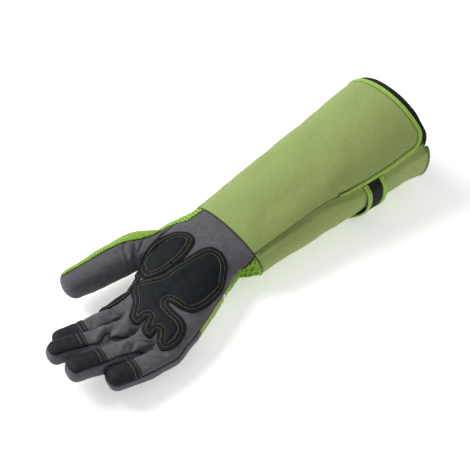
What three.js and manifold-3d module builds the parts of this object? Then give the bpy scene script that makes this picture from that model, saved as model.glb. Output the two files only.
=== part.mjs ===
// A right-hand rose pruning gauntlet, lying palm up: a stuffed hand of thin sewn
// panels, gathered mesh at the wrist, and a long open cuff with a slit and a strap.
// Millimetres, +X towards the mouth of the cuff, +Y towards the thumb, +Z up.
import * as THREE from "three";
import { mergeVertices } from "three/addons/utils/BufferGeometryUtils.js";
import Module from "manifold-3d";

const wasm = await Module();
wasm.setup();

// Driving dimensions of the hand
const HAND_LENGTH = 231; // wrist seam to the start of the middle fingertip's round
const PALM_WIDTH = 97; // across the knuckles, stuffed
const PALM_DEPTH = 42; // back to palm, stuffed
const FINGER_WIDTH = 24.4; // the middle finger at its base
const FINGER_DEPTH = 23;
const THUMB_WIDTH = 33;
const HAND_WALL = 1.6; // synthetic leather with its lining
const REST_SAG = 2.5; // how far a round section would dip below the floor, pressed flat

// Driving dimensions of the cuff
const WRIST_SLANT = 4; // the wrist seam leans the same way
const CUFF_LENGTH = 221; // wrist seam to the mouth
const MOUTH_WIDTH = 126;
const MOUTH_DEPTH = 109;
const MOUTH_SLANT = 6; // the mouth's top edge lies this far nearer the wrist, its lowest further
const CUFF_WALL = 1.8;
const SLIT_START = 0.47; // share of the cuff's length
const SLIT_CORNER = 18; // radius of the front panel's corner at the mouth
const FLAP_OVERLAP = 12; // how far the back panel runs under the front one at the slit
const LOBE_REACH = -1; // how far the back panel's corner stands past the mouth
const BACK_RECESS = 5; // how far the rest of its edge stays behind the mouth
const LOBE_FLARE = 2.5; // how far it stands off the round of the cuff
const FLARE_START = 0.86; // share of the cuff's length
const LINING_WALL = 1.2;
const LINING_WIDTH = 34;
const LINING_REACH = 5; // how far the lining shows past the mouth
const LINING_HIDDEN = 2; // how far it stays behind the back panel's edge

// Trims, patches and clearances
const SEAM_GAP = 0.4; // between two panels sewn edge to edge
const LAYER_GAP = 0.3; // between two layers that lie on each other
const PATCH_WALL = 1.5;
const CAP_WALL = 1.2;
// Fingertip caps, from the tip to the stitched edge
const CAP_LENGTH = { index: 35, middle: 38, ring: 38, little: 31 };
const PIPING_WIDTH = 2.2;
const PIPING_PROUD = 0.8;
const BINDING_WIDTH = 4.6;
const BACK_BINDING_WIDTH = 2.8; // the back panel's edge is bound narrower
const BINDING_PROUD = 0.7; // past each face of the panel that it binds
const STRAP_WIDTH = 25;
const STRAP_EDGE = 5.2; // each bound edge of the strap
const STRAP_WALL = 1.6;
const STRAP_EDGE_PROUD = 0.5; // how much thicker the bound edges are
const STRAP_AT = 0.672; // share of the cuff's length
const STRAP_END = 238; // degrees round the cuff from the thumb side, under the glove
const STRAP_LEAN = 14; // how much nearer the wrist its lower end lies
const STRAP_BULGE = 5; // how far the strap bows off the cuff at its middle

// How finely the shapes are divided
const PALM_SIDES = 36;
const DIGIT_SIDES = 14;
const RUFFLES = 9; // lengthwise gathers round the back of the wrist
const FAR = 400; // size of the blocks that only cut

const OLIVE = 0x8fa85f;
const GREY = 0x6a6770;
const LIME = 0x8fce3a;
const BLACK = 0x1c1e22;
const WHITE = 0xe9ece6;

// Rows of numbers as rows of named values.
function table(names, rows) {
  return rows.map((row) => Object.fromEntries(row.map((value, i) => [names[i], value])));
}

// The palm from the wrist to the knuckles. along is a share of HAND_LENGTH, little
// and thumb are the side edges as shares of PALM_WIDTH, under and over are heights as
// shares of PALM_DEPTH, seam and edge are the heights of the side seam on the little
// finger's and on the thumb's side as shares of the section's own height, square tells
// how far the section is from round, which is 2, and ruffle is the depth of the gathers
// as a share of PALM_DEPTH.
const PALM = table(["along", "little", "thumb", "under", "over", "seam", "edge", "square", "ruffle"], [
  [-0.04, -0.56, 0.56, 0.07, 1.34, 0.8, 0.89, 2.05, 0],
  [0.0, -0.548, 0.548, 0.07, 1.325, 0.79, 0.89, 2.05, 0.02],
  [0.05, -0.475, 0.548, 0.1, 1.25, 0.69, 0.9, 2.1, 0.05],
  [0.1, -0.425, 0.57, 0.15, 1.16, 0.49, 0.92, 2.2, 0.055],
  [0.2, -0.52, 0.61, 0.02, 1.1, 0.58, 0.8, 2.4, 0.01],
  [0.3, -0.635, 0.48, 0.03, 1.07, 0.63, 0.66, 2.5, 0],
  [0.38, -0.72, 0.35, 0.07, 1.03, 0.65, 0.66, 2.6, 0],
  [0.45, -0.785, 0.21, 0.13, 1.0, 0.62, 0.65, 2.6, 0],
  [0.51, -0.825, 0.135, 0.2, 0.94, 0.58, 0.65, 2.5, 0],
  [0.57, -0.825, 0.11, 0.26, 0.83, 0.56, 0.65, 2.4, 0],
]);
const PALM_ROUND = 0.075; // of HAND_LENGTH, the knuckle end's round
const KNUCKLES = 0.5; // of HAND_LENGTH, where the seams begin to follow the fingers
const FINGERS_APART = 0.57; // of HAND_LENGTH, where they follow them wholly

// Each digit's axis. along, across and lift are shares of HAND_LENGTH, PALM_WIDTH and
// PALM_DEPTH; wide and deep are shares of the digit's own width and depth, and dip
// where a joint is creased.
const FINGERS = {
  index: [
    { along: 0.45, across: 0.0, lift: 0.48, wide: 1.02, deep: 1.02 },
    { along: 0.565, across: 0.015, lift: 0.465, wide: 0.98, deep: 0.99 },
    { along: 0.66, across: 0.01, lift: 0.46, wide: 0.95, deep: 0.9 },
    { along: 0.72, across: 0.015, lift: 0.465, wide: 0.98, deep: 0.97 },
    { along: 0.79, across: 0.04, lift: 0.465, wide: 0.96, deep: 0.91 },
    { along: 0.879, across: 0.085, lift: 0.47, wide: 0.9, deep: 0.86 },
  ],
  middle: [
    { along: 0.45, across: -0.245, lift: 0.5, wide: 1.02, deep: 1.02 },
    { along: 0.59, across: -0.25, lift: 0.52, wide: 1.0, deep: 1.0 },
    { along: 0.69, across: -0.235, lift: 0.6, wide: 0.97, deep: 0.9 },
    { along: 0.75, across: -0.222, lift: 0.66, wide: 1.0, deep: 0.99 },
    { along: 0.83, across: -0.195, lift: 0.74, wide: 0.99, deep: 0.92 },
    { along: 0.959, across: -0.12, lift: 0.86, wide: 0.92, deep: 0.87 },
  ],
  ring: [
    { along: 0.45, across: -0.48, lift: 0.5, wide: 1.02, deep: 1.02 },
    { along: 0.59, across: -0.492, lift: 0.52, wide: 1.02, deep: 1.0 },
    { along: 0.685, across: -0.488, lift: 0.57, wide: 1.0, deep: 0.9 },
    { along: 0.745, across: -0.478, lift: 0.63, wide: 1.04, deep: 1.0 },
    { along: 0.82, across: -0.455, lift: 0.71, wide: 1.05, deep: 0.95 },
    { along: 0.944, across: -0.395, lift: 0.8, wide: 0.98, deep: 0.9 },
  ],
  little: [
    { along: 0.46, across: -0.66, lift: 0.47, wide: 0.86, deep: 0.86 },
    { along: 0.57, across: -0.74, lift: 0.47, wide: 0.98, deep: 0.98 },
    { along: 0.645, across: -0.748, lift: 0.5, wide: 0.96, deep: 0.89 },
    { along: 0.7, across: -0.742, lift: 0.53, wide: 0.98, deep: 0.95 },
    { along: 0.76, across: -0.722, lift: 0.56, wide: 0.98, deep: 0.9 },
    { along: 0.834, across: -0.685, lift: 0.59, wide: 0.92, deep: 0.86 },
  ],
};
const THUMB = [
  { along: 0.12, across: 0.18, lift: 0.58, wide: 1.1, deep: 0.95 },
  { along: 0.24, across: 0.36, lift: 0.66, wide: 1.12, deep: 0.98 },
  { along: 0.34, across: 0.5, lift: 0.7, wide: 1.18, deep: 1.0 },
  { along: 0.44, across: 0.535, lift: 0.7, wide: 1.12, deep: 0.98 },
  { along: 0.55, across: 0.55, lift: 0.69, wide: 1.04, deep: 0.94 },
  { along: 0.66, across: 0.57, lift: 0.69, wide: 0.93, deep: 0.86 },
];
const DIGIT_SQUARENESS = 2.6; // a sewn finger is a soft box, where 2 is round
const TIP_ROUND = 0.85; // a digit's end round, as a share of its half width
// Height of each finger's side seam over its axis, as a share of its half depth.
const FINGER_SEAM = { index: 0.6, middle: 0.78, ring: 0.74, little: 0.32 };
const SEAM_EDGE = 0.36; // of PALM_WIDTH, the seam has its height at the thumb's edge from here
const SEAM_STEP = 1.2; // half the width in which the seam changes from one finger to the next
const SEAM_RISE = 4; // a step of this height or more lies furthest towards the lower finger
const THUMB_MESH_START = 0.25; // of HAND_LENGTH, where the side strip turns onto the thumb

// Outlines in plan, as shares of HAND_LENGTH along and PALM_WIDTH across.
const THUMB_PANEL = [
  [0.143, 0.8], [0.148, 0.45], [0.18, 0.435], [0.214, 0.415], [0.256, 0.385], [0.297, 0.36],
  [0.349, 0.327], [0.39, 0.3], [0.43, 0.27], [0.47, 0.26], [0.6, 0.29], [0.8, 0.33], [0.88, 0.6],
  [0.85, 0.95], [0.24, 0.95],
];
const THUMB_MESH = [
  [0.12, 1.2], [0.13, 0.42], [0.192, 0.487], [0.225, 0.46], [0.26, 0.445], [0.293, 0.46],
  [0.326, 0.48], [0.358, 0.515], [0.389, 0.55], [0.424, 0.575], [0.47, 0.59], [0.511, 0.6],
  [0.56, 0.605], [0.665, 0.62],
];
const PALM_PATCH = [
  [0.13, -0.106], [0.111, -0.222], [0.124, -0.336], [0.152, -0.41], [0.205, -0.505],
  [0.27, -0.576], [0.345, -0.625], [0.406, -0.614], [0.436, -0.534], [0.449, -0.427],
  [0.457, -0.36], [0.463, -0.473], [0.46, -0.6], [0.471, -0.696], [0.5, -0.755],
  [0.543, -0.775], [0.585, -0.769], [0.611, -0.735], [0.6, -0.637], [0.57, -0.53],
  [0.59, -0.545], [0.614, -0.538], [0.623, -0.479], [0.614, -0.41], [0.587, -0.369],
  [0.562, -0.34], [0.591, -0.344], [0.615, -0.328], [0.624, -0.28], [0.614, -0.2],
  [0.589, -0.148], [0.552, -0.075], [0.53, 0.02], [0.5, 0.09], [0.465, 0.09],
  [0.426, 0.02], [0.376, -0.033], [0.294, -0.038], [0.211, -0.044], [0.165, -0.058],
];
const THENAR_PATCH = [
  [0.153, 0.102], [0.183, 0.038], [0.246, -0.02], [0.316, -0.045], [0.383, -0.04],
  [0.42, 0.0], [0.445, 0.065], [0.43, 0.2], [0.39, 0.32], [0.3, 0.37],
  [0.2, 0.345], [0.157, 0.246], [0.147, 0.172],
];
const WEB_ON_INDEX = [
  [0.4, 0.26], [0.425, 0.15], [0.47, 0.085], [0.54, 0.045], [0.61, 0.04],
  [0.665, 0.085], [0.68, 0.17], [0.66, 0.28], [0.4, 0.28],
];
const WEB_ON_THUMB = [
  [0.4, 0.24], [0.68, 0.24], [0.69, 0.4], [0.66, 0.5], [0.58, 0.54], [0.48, 0.54], [0.4, 0.46],
];
const WEB_LOW = 0.22; // of PALM_DEPTH, the lowest that the web patch reaches
const THENAR_LOW = 0.55; // of PALM_DEPTH, lower than the thenar patch lies anywhere
const WEB_THUMB_TOP = 0.4; // of PALM_DEPTH, how high it reaches on the thumb
const BACK_GREY_START = 0.42; // of HAND_LENGTH, knuckle panel meets the fingers' backs
const PIPING_AT = 0.212; // of HAND_LENGTH, piping between knuckle panel and wrist mesh
const RADIAL_MESH_EDGE = 0.31; // of PALM_WIDTH, wrist mesh meets the thumb's mesh

const CUFF_ROWS = 12;
const MOUTH = 1; // share of the cuff's length at its mouth
const CUFF_SQUARENESS = 2.05;
// The cuff's side seams: at a share t of its length, the angle of the little-finger
// seam and of the thumb seam, counted from the thumb side over the top.
const CUFF_SEAMS = [
  { t: 0, little: 145, thumb: 32 },
  { t: 0.2, little: 145, thumb: 28 },
  { t: 0.42, little: 147, thumb: 25 },
  { t: 0.53, little: 155, thumb: 22 },
  { t: 0.64, little: 160, thumb: 20 },
  { t: 0.78, little: 162, thumb: 18 },
  { t: 1, little: 160, thumb: 18 },
];
// Shallow dents in the cuff's cloth: place, reach and depth.
const CUFF_DENTS = [
  { t: 0.3, angle: 112, length: 0.16, spread: 12, depth: 1.3 },
  { t: 0.55, angle: 140, length: 0.1, spread: 9, depth: 1.6 },
  { t: 0.66, angle: 78, length: 0.18, spread: 14, depth: 1.1 },
  { t: 0.36, angle: 62, length: 0.14, spread: 11, depth: 1.2 },
];

const rad = THREE.MathUtils.degToRad;
const lerp = THREE.MathUtils.lerp;
const smooth = THREE.MathUtils.smoothstep;

// Value of a table's column at a fractional row, on a smooth curve through the rows.
function rowValue(table, column, at) {
  const last = table.length - 1;
  const i = Math.min(Math.floor(at), last - 1);
  const pick = (k) => table[Math.min(Math.max(k, 0), last)][column];
  const [a, b, c, d] = [pick(i - 1), pick(i), pick(i + 1), pick(i + 2)];
  const s = at - i;
  return b + 0.5 * s * (c - a + s * (2 * a - 5 * b + 4 * c - d + s * (3 * (b - c) + d - a)));
}

// Fractional row at which a table's rising column has a value.
function rowWhere(table, column, value) {
  let low = 0;
  let high = table.length - 1;
  for (let i = 0; i < 24; i++) {
    const mid = (low + high) / 2;
    if (rowValue(table, column, mid) < value) low = mid;
    else high = mid;
  }
  return (low + high) / 2;
}

// A closed body through rings of points, with a flat or pointed end on each side.
function loft(rings, startPoint, endPoint) {
  const sides = rings[0].length;
  const points = rings.flat();
  const faces = [];
  for (let r = 0; r + 1 < rings.length; r++) {
    for (let i = 0; i < sides; i++) {
      const a = r * sides + i;
      const b = r * sides + ((i + 1) % sides);
      faces.push(a, b, b + sides, a, b + sides, a + sides);
    }
  }
  const first = points.push(startPoint) - 1;
  const last = points.push(endPoint) - 1;
  const top = (rings.length - 1) * sides;
  for (let i = 0; i < sides; i++) {
    const j = (i + 1) % sides;
    faces.push(first, j, i, last, top + i, top + j);
  }
  return solidFrom(points, faces);
}

// A solid from points and faces, turned right side out.
function solidFrom(points, faces) {
  const geometry = new THREE.BufferGeometry().setFromPoints(points);
  geometry.setIndex(faces);
  const merged = mergeVertices(geometry, 1e-4);
  const index = Uint32Array.from(merged.index.array);
  const position = merged.getAttribute("position").array;
  let volume = 0;
  const [a, b, c] = [new THREE.Vector3(), new THREE.Vector3(), new THREE.Vector3()];
  for (let i = 0; i < index.length; i += 3) {
    a.fromArray(position, index[i] * 3);
    b.fromArray(position, index[i + 1] * 3);
    c.fromArray(position, index[i + 2] * 3);
    volume += a.dot(b.cross(c));
  }
  if (volume < 0) index.reverse();
  return new wasm.Manifold(new wasm.Mesh({ numProp: 3, vertProperties: position, triVerts: index }));
}

const centreOf = (ring) =>
  ring.reduce((sum, p) => sum.add(p), new THREE.Vector3()).divideScalar(ring.length);

// A point of a superellipse at an angle, as shares of its half width and half height.
function roundSquare(angle, squareness) {
  const bend = (v) => Math.sign(v) * Math.abs(v) ** (2 / squareness);
  return [bend(Math.cos(angle)), bend(Math.sin(angle))];
}

// How far the gathers stand out at an angle: on the back of the wrist alone.
function ruffleAt(angle) {
  const under = smooth(-Math.sin(angle), -0.35, 0.15);
  return under * Math.cos(RUFFLES * angle);
}

// One ring of the palm. grow moves the surface out, or in where it is negative.
function palmRing(row, grow, shrink = 1, shift = 0) {
  const at = (column) => rowValue(PALM, column, row);
  const x = -at("along") * HAND_LENGTH - shift;
  const [little, thumb] = [at("little") * PALM_WIDTH, at("thumb") * PALM_WIDTH];
  const under = at("under") * PALM_DEPTH - REST_SAG;
  const over = at("over") * PALM_DEPTH;
  const halfWidth = (thumb - little) / 2;
  const halfDepth = (over - under) / 2;
  const ring = [];
  for (let i = 0; i < PALM_SIDES; i++) {
    const angle = (i / PALM_SIDES) * 2 * Math.PI;
    const [c, s] = roundSquare(angle, at("square"));
    const out = grow + at("ruffle") * PALM_DEPTH * ruffleAt(angle);
    const y = (little + thumb) / 2 + c * (halfWidth + out) * shrink;
    const z = (under + over) / 2 + s * (halfDepth + out) * shrink;
    ring.push(new THREE.Vector3(x, y, Math.max(z, -grow, 0)));
  }
  return ring;
}

function palmSolid(grow) {
  const rings = [];
  const last = PALM.length - 1;
  for (let row = 0; row <= last; row += row > 3 ? 1 : 0.5) rings.push(palmRing(row, grow));
  const round = PALM_ROUND * HAND_LENGTH + grow;
  for (const turn of [25, 50, 70]) {
    rings.push(palmRing(last, grow, Math.cos(rad(turn)), round * Math.sin(rad(turn))));
  }
  const tip = centreOf(rings[rings.length - 1]);
  tip.x = rings[rings.length - 4][0].x - round;
  return loft(rings, centreOf(rings[0]), tip);
}

// The axis point, directions and half sizes of a digit at a fractional row.
function digitFrame(table, width, depth, row) {
  const place = (r) => new THREE.Vector3(
    -rowValue(table, "along", r) * HAND_LENGTH,
    rowValue(table, "across", r) * PALM_WIDTH,
    rowValue(table, "lift", r) * PALM_DEPTH,
  );
  const last = table.length - 1;
  const step = 0.05;
  const ahead = place(Math.min(row + step, last)).sub(place(Math.max(row - step, 0))).normalize();
  const side = new THREE.Vector3(0, 0, 1).cross(ahead).negate().normalize();
  return {
    centre: place(row),
    ahead,
    side,
    up: new THREE.Vector3().crossVectors(side, ahead).normalize(),
    wide: (rowValue(table, "wide", row) * width) / 2,
    deep: (rowValue(table, "deep", row) * depth) / 2,
  };
}

function digitSolid(table, width, depth, grow) {
  const ringAt = (row, turn) => {
    const f = digitFrame(table, width, depth, row);
    const [shrink, ahead] = roundSquare(turn, DIGIT_SQUARENESS);
    const reach = (TIP_ROUND * f.wide + grow) * ahead;
    const centre = f.centre.clone().addScaledVector(f.ahead, reach);
    const ring = [];
    for (let i = 0; i < DIGIT_SIDES; i++) {
      const [c, s] = roundSquare((i / DIGIT_SIDES) * 2 * Math.PI, DIGIT_SQUARENESS);
      const p = centre.clone().addScaledVector(f.side, c * (f.wide + grow) * shrink);
      p.addScaledVector(f.up, s * (f.deep + grow) * shrink);
      p.z = Math.max(p.z, -grow, 0);
      ring.push(p);
    }
    return ring;
  };
  const last = table.length - 1;
  const rings = [];
  for (let row = 0; row <= last; row += 0.5) rings.push(ringAt(row, 0));
  for (const turn of [25, 50, 70, 82]) rings.push(ringAt(last, rad(turn)));
  const f = digitFrame(table, width, depth, last);
  const tip = f.centre.clone().addScaledVector(f.ahead, TIP_ROUND * f.wide + grow);
  return loft(rings, centreOf(rings[0]), tip);
}

const thumbSolid = (grow) => digitSolid(THUMB, THUMB_WIDTH, THUMB_WIDTH, grow);
const fingerSolid = (name, grow) =>
  digitSolid(FINGERS[name], FINGER_WIDTH, FINGER_DEPTH, grow);

// The whole hand as one filled form.
function handSolid(grow) {
  let hand = palmSolid(grow).add(thumbSolid(grow));
  for (const name of Object.keys(FINGERS)) hand = hand.add(fingerSolid(name, grow));
  return hand;
}

// A block between two heights over a plan outline, moved out by grow.
function prism(outline, low, high, grow = 0) {
  const points = outline.map(([along, across]) =>
    new THREE.Vector2(-along * HAND_LENGTH, across * PALM_WIDTH));
  const clockwise = THREE.ShapeUtils.isClockWise(points);
  const moved = points.map((p, i) => {
    const before = points[(i + points.length - 1) % points.length];
    const after = points[(i + 1) % points.length];
    const out = after.clone().sub(before).normalize();
    return new THREE.Vector2(p.x + grow * out.y, p.y - grow * out.x);
  });
  const shape = new THREE.Shape(grow && clockwise ? undoTurn(points, moved) : moved);
  const block = new THREE.ExtrudeGeometry(shape, { depth: high - low, bevelEnabled: false });
  block.translate(0, 0, low);
  return fromGeometry(block);
}

// The points moved the other way, for an outline that runs clockwise.
const undoTurn = (points, moved) => points.map((p, i) => p.clone().multiplyScalar(2).sub(moved[i]));

// A smooth outline through the points of a patch.
function curved(outline) {
  const curve = new THREE.CatmullRomCurve3(
    outline.map(([along, across]) => new THREE.Vector3(along, across, 0)), true);
  return curve.getPoints(Math.round(outline.length * 1.6)).slice(0, -1).map((p) => [p.x, p.y]);
}

function fromGeometry(geometry) {
  const bare = geometry.index ? geometry.toNonIndexed() : geometry.clone();
  const plain = new THREE.BufferGeometry().setAttribute("position", bare.getAttribute("position"));
  const merged = mergeVertices(plain, 1e-4);
  return new wasm.Manifold(new wasm.Mesh({
    numProp: 3,
    vertProperties: merged.getAttribute("position").array,
    triVerts: new Uint32Array(merged.index.array),
  }));
}

function block(x0, x1, y0, y1, z0, z1) {
  const box = new THREE.BoxGeometry(x1 - x0, y1 - y0, z1 - z0);
  box.translate((x0 + x1) / 2, (y0 + y1) / 2, (z0 + z1) / 2);
  return fromGeometry(box);
}

// Where the side seam runs at a distance along the hand: a list of [y, z] from the
// little-finger side to the thumb side. Each finger has its own height over its axis,
// and the step to the next one's lies between the two, nearer the lower finger.
function seamLine(along) {
  const palmRow = rowWhere(PALM, "along", Math.min(along, KNUCKLES));
  const at = (column) => rowValue(PALM, column, palmRow);
  const under = at("under") * PALM_DEPTH - REST_SAG;
  const palmHeight = under + at("seam") * (at("over") * PALM_DEPTH - under);
  const follow = smooth(along, KNUCKLES, FINGERS_APART);
  const edgeHeight = under + at("edge") * (at("over") * PALM_DEPTH - under);
  const line = Object.keys(FINGERS).reverse().map((name) => {
    const table = FINGERS[name];
    const row = rowWhere(table, "along", along);
    const f = digitFrame(table, FINGER_WIDTH, FINGER_DEPTH, row);
    return [f.centre.y, lerp(palmHeight, f.centre.z + FINGER_SEAM[name] * f.deep, follow)];
  });
  const steps = [line[0]];
  for (let i = 0; i + 1 < line.length; i++) {
    const rise = THREE.MathUtils.clamp((line[i + 1][1] - line[i][1]) / SEAM_RISE, -1, 1);
    const middle = (line[i][0] + line[i + 1][0]) / 2 - rise * SEAM_STEP;
    steps.push([middle - SEAM_STEP, line[i][1]], [middle + SEAM_STEP, line[i + 1][1]]);
  }
  const index = line[line.length - 1];
  const edge = lerp(edgeHeight, index[1], follow);
  return [[-FAR, line[0][1]], ...steps, index, [SEAM_EDGE * PALM_WIDTH, edge], [FAR, edge]];
}

// Everything over the side seam, or under it, a distance clear of it.
function seamSide(over, clear) {
  const rings = [];
  const lid = over ? FAR : -FAR;
  for (const along of [-0.2, 0, 0.1, 0.2, 0.3, 0.4, 0.5, 0.54, 0.57, 0.64, 0.7, 0.76, 0.82, 0.88, 0.94, 1.2]) {
    const x = -along * HAND_LENGTH;
    const ring = seamLine(along).map(([y, z]) => new THREE.Vector3(x, y, z + (over ? clear : -clear)));
    ring.push(new THREE.Vector3(x, FAR, lid), new THREE.Vector3(x, -FAR, lid));
    rings.push(ring);
  }
  return loft(rings, centreOf(rings[0]), centreOf(rings[rings.length - 1]));
}

const half = SEAM_GAP / 2;
const wristBox = new THREE.Box3().setFromPoints(palmRing(1, 0));
const wristMiddle = wristBox.getCenter(new THREE.Vector3());
const wristHalfDepth = (wristBox.max.z - wristBox.min.z) / 2;

// Everything on the hand's side of the leaning wrist seam.
function beforeWrist() {
  const box = new THREE.BoxGeometry(FAR, FAR, FAR).translate(-FAR / 2, 0, 0);
  box.rotateY(-Math.atan(WRIST_SLANT / wristHalfDepth)).translate(0, 0, wristMiddle.z);
  return fromGeometry(box);
}

const handShell = handSolid(0).subtract(handSolid(-HAND_WALL)).intersect(beforeWrist());
const overSeam = seamSide(true, half);
const underSeam = seamSide(false, half);
const thumbBlock = prism(THUMB_PANEL, -FAR, FAR, -half);
const thumbCut = prism(THUMB_PANEL, -FAR, FAR, half);

// The mesh on the thumb's outer side runs on along the side of the wrist: its region,
// made smaller or larger all round by grow.
function thumbMeshRegion(grow) {
  const outline = [...THUMB_MESH, [THUMB_MESH[THUMB_MESH.length - 1][0], THUMB_MESH[0][1]]];
  const inner = RADIAL_MESH_EDGE * PALM_WIDTH - grow;
  const side = block(-THUMB_MESH_START * HAND_LENGTH - grow, FAR, inner, FAR, -FAR, FAR);
  return prism(outline, -FAR, FAR, grow)
    .intersect(prism(THUMB_PANEL, -FAR, FAR, grow))
    .add(side.intersect(seamSide(false, -grow)));
}

const meshIn = thumbMeshRegion(-half);
const meshOut = thumbMeshRegion(half);
const palmPanel = handShell.intersect(overSeam).subtract(thumbCut);
const backHalf = handShell.intersect(underSeam).subtract(thumbCut).subtract(meshOut);
const alongBlock = (from, to) =>
  block(-to * HAND_LENGTH, -from * HAND_LENGTH, -FAR, FAR, -FAR, FAR);
const halfAlong = half / HAND_LENGTH;
const pipeAlong = PIPING_WIDTH / 2 / HAND_LENGTH;
const backPanel = backHalf.intersect(alongBlock(BACK_GREY_START + halfAlong, 2));
const knucklePanel = backHalf.intersect(
  alongBlock(PIPING_AT + pipeAlong + 2 * halfAlong, BACK_GREY_START - halfAlong));
const wristMesh = backHalf.intersect(alongBlock(-1, PIPING_AT - pipeAlong - 2 * halfAlong));
const backPiping = handSolid(PIPING_PROUD)
  .subtract(handSolid(-HAND_WALL))
  .intersect(alongBlock(PIPING_AT - pipeAlong, PIPING_AT + pipeAlong))
  .intersect(underSeam)
  .subtract(block(-FAR, FAR, RADIAL_MESH_EDGE * PALM_WIDTH - half, FAR, -FAR, FAR));
const thumbMesh = handShell.intersect(meshIn);
const thumbPanel = handShell.intersect(thumbBlock).subtract(meshOut);

// A patch that lies on the hand: a layer over the outer form, cut to an outline.
const patchLayer = handSolid(LAYER_GAP + PATCH_WALL).subtract(handSolid(LAYER_GAP));
const palmSide = seamSide(true, half + LAYER_GAP);
const palmPatch = patchLayer.intersect(palmSide).intersect(prism(curved(PALM_PATCH), 0, FAR));
const thenarPatch = patchLayer
  .intersect(palmSide)
  .intersect(prism(curved(THENAR_PATCH), 0, FAR))
  .subtract(prism(curved(PALM_PATCH), 0, FAR, SEAM_GAP))
  .subtract(thumbCut);
const webRegion = prism(WEB_ON_INDEX, WEB_LOW * PALM_DEPTH, FAR)
  .add(prism(WEB_ON_THUMB, WEB_LOW * PALM_DEPTH, WEB_THUMB_TOP * PALM_DEPTH));
const webPatch = patchLayer
  .intersect(webRegion)
  .subtract(prism(curved(PALM_PATCH), -FAR, FAR, SEAM_GAP))
  .subtract(prism(curved(THENAR_PATCH), THENAR_LOW * PALM_DEPTH, FAR, SEAM_GAP));

// A fingertip cap: the palm side of one finger's end, over its side seam and clear of
// the caps beside it.
function fingerCap(name) {
  const table = FINGERS[name];
  const last = table.length - 1;
  const end = digitFrame(table, FINGER_WIDTH, FINGER_DEPTH, last);
  const reach = CAP_LENGTH[name] - TIP_ROUND * end.wide;
  const box = new THREE.BoxGeometry(CAP_LENGTH[name] * 2, FAR, FAR);
  const turn = new THREE.Matrix4().makeBasis(end.ahead, end.up, end.side);
  turn.setPosition(end.centre.clone().addScaledVector(end.ahead, CAP_LENGTH[name] - reach));
  box.applyMatrix4(turn);
  const cap = fingerSolid(name, LAYER_GAP + CAP_WALL)
    .subtract(fingerSolid(name, LAYER_GAP))
    .intersect(fromGeometry(box))
    .intersect(palmSide);
  const beside = Object.keys(FINGERS).filter((other) => other !== name);
  return beside.reduce((left, other) => left.subtract(fingerSolid(other, 2 * LAYER_GAP + CAP_WALL)), cap);
}

// Seam angle on the cuff at a share t of its length, in radians.
function seamAngle(t, side) {
  let i = 0;
  while (i < CUFF_SEAMS.length - 2 && t > CUFF_SEAMS[i + 1].t) i++;
  const [a, b] = [CUFF_SEAMS[i], CUFF_SEAMS[i + 1]];
  return rad(lerp(a[side], b[side], THREE.MathUtils.clamp((t - a.t) / (b.t - a.t), 0, 1)));
}

function dentAt(t, angle) {
  let depth = 0;
  for (const d of CUFF_DENTS) {
    const along = (t - d.t) / d.length;
    const round = (angle - rad(d.angle)) / rad(d.spread);
    depth += d.depth * Math.exp(-along * along - round * round);
  }
  return depth;
}

// A point of the cuff: t from 0 at the wrist to 1 at the mouth, angle from the thumb
// side over the top, and how far it lies inside the outer face.
function cuffPoint(t, angle, inside) {
  const halfWidth = lerp((wristBox.max.y - wristBox.min.y) / 2, MOUTH_WIDTH / 2, t);
  const over = lerp(wristBox.max.z, MOUTH_DEPTH - REST_SAG, t);
  const under = lerp(wristBox.min.z, -REST_SAG, t);
  const halfDepth = (over - under) / 2;
  const [c, s] = roundSquare(angle, CUFF_SQUARENESS);
  const inset = inside + dentAt(t, angle);
  const y = wristMiddle.y + c * (halfWidth - inset);
  const z = Math.max((over + under) / 2 + s * (halfDepth - inset), inside, 0);
  const lean = (lerp(WRIST_SLANT, MOUTH_SLANT, t) * (z - (over + under) / 2)) / halfDepth;
  return new THREE.Vector3(t * CUFF_LENGTH - lean, y, z);
}

// Radius of the cuff for turning a distance round it into an angle.
const cuffRadius = (t) => lerp(PALM_WIDTH * 0.45, (MOUTH_WIDTH + MOUTH_DEPTH) / 4, t);

// A thin solid between two faces of a grid of points. place(u, v, inner) gives a point,
// and a ring that closes on itself repeats its first column.
function sheet(place, columns, rows, closed = false) {
  const points = [];
  const faces = [];
  const across = closed ? columns : columns + 1;
  const number = (i, j, k) => (k * (rows + 1) + j) * across + (closed ? i % columns : i);
  for (const k of [0, 1]) {
    for (let j = 0; j <= rows; j++) {
      for (let i = 0; i < across; i++) points.push(place(i / columns, j / rows, k === 1));
    }
  }
  const quad = (a, b, c, d) => faces.push(a, b, c, a, c, d);
  for (let j = 0; j < rows; j++) {
    for (let i = 0; i < columns; i++) {
      quad(number(i, j, 0), number(i + 1, j, 0), number(i + 1, j + 1, 0), number(i, j + 1, 0));
      quad(number(i, j, 1), number(i, j + 1, 1), number(i + 1, j + 1, 1), number(i + 1, j, 1));
    }
    if (!closed) {
      quad(number(0, j, 0), number(0, j + 1, 0), number(0, j + 1, 1), number(0, j, 1));
      quad(number(columns, j, 0), number(columns, j, 1),
        number(columns, j + 1, 1), number(columns, j + 1, 0));
    }
  }
  for (let i = 0; i < columns; i++) {
    quad(number(i, 0, 0), number(i, 0, 1), number(i + 1, 0, 1), number(i + 1, 0, 0));
    quad(number(i, rows, 0), number(i + 1, rows, 0), number(i + 1, rows, 1), number(i, rows, 1));
  }
  return solidFrom(points, faces);
}

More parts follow.
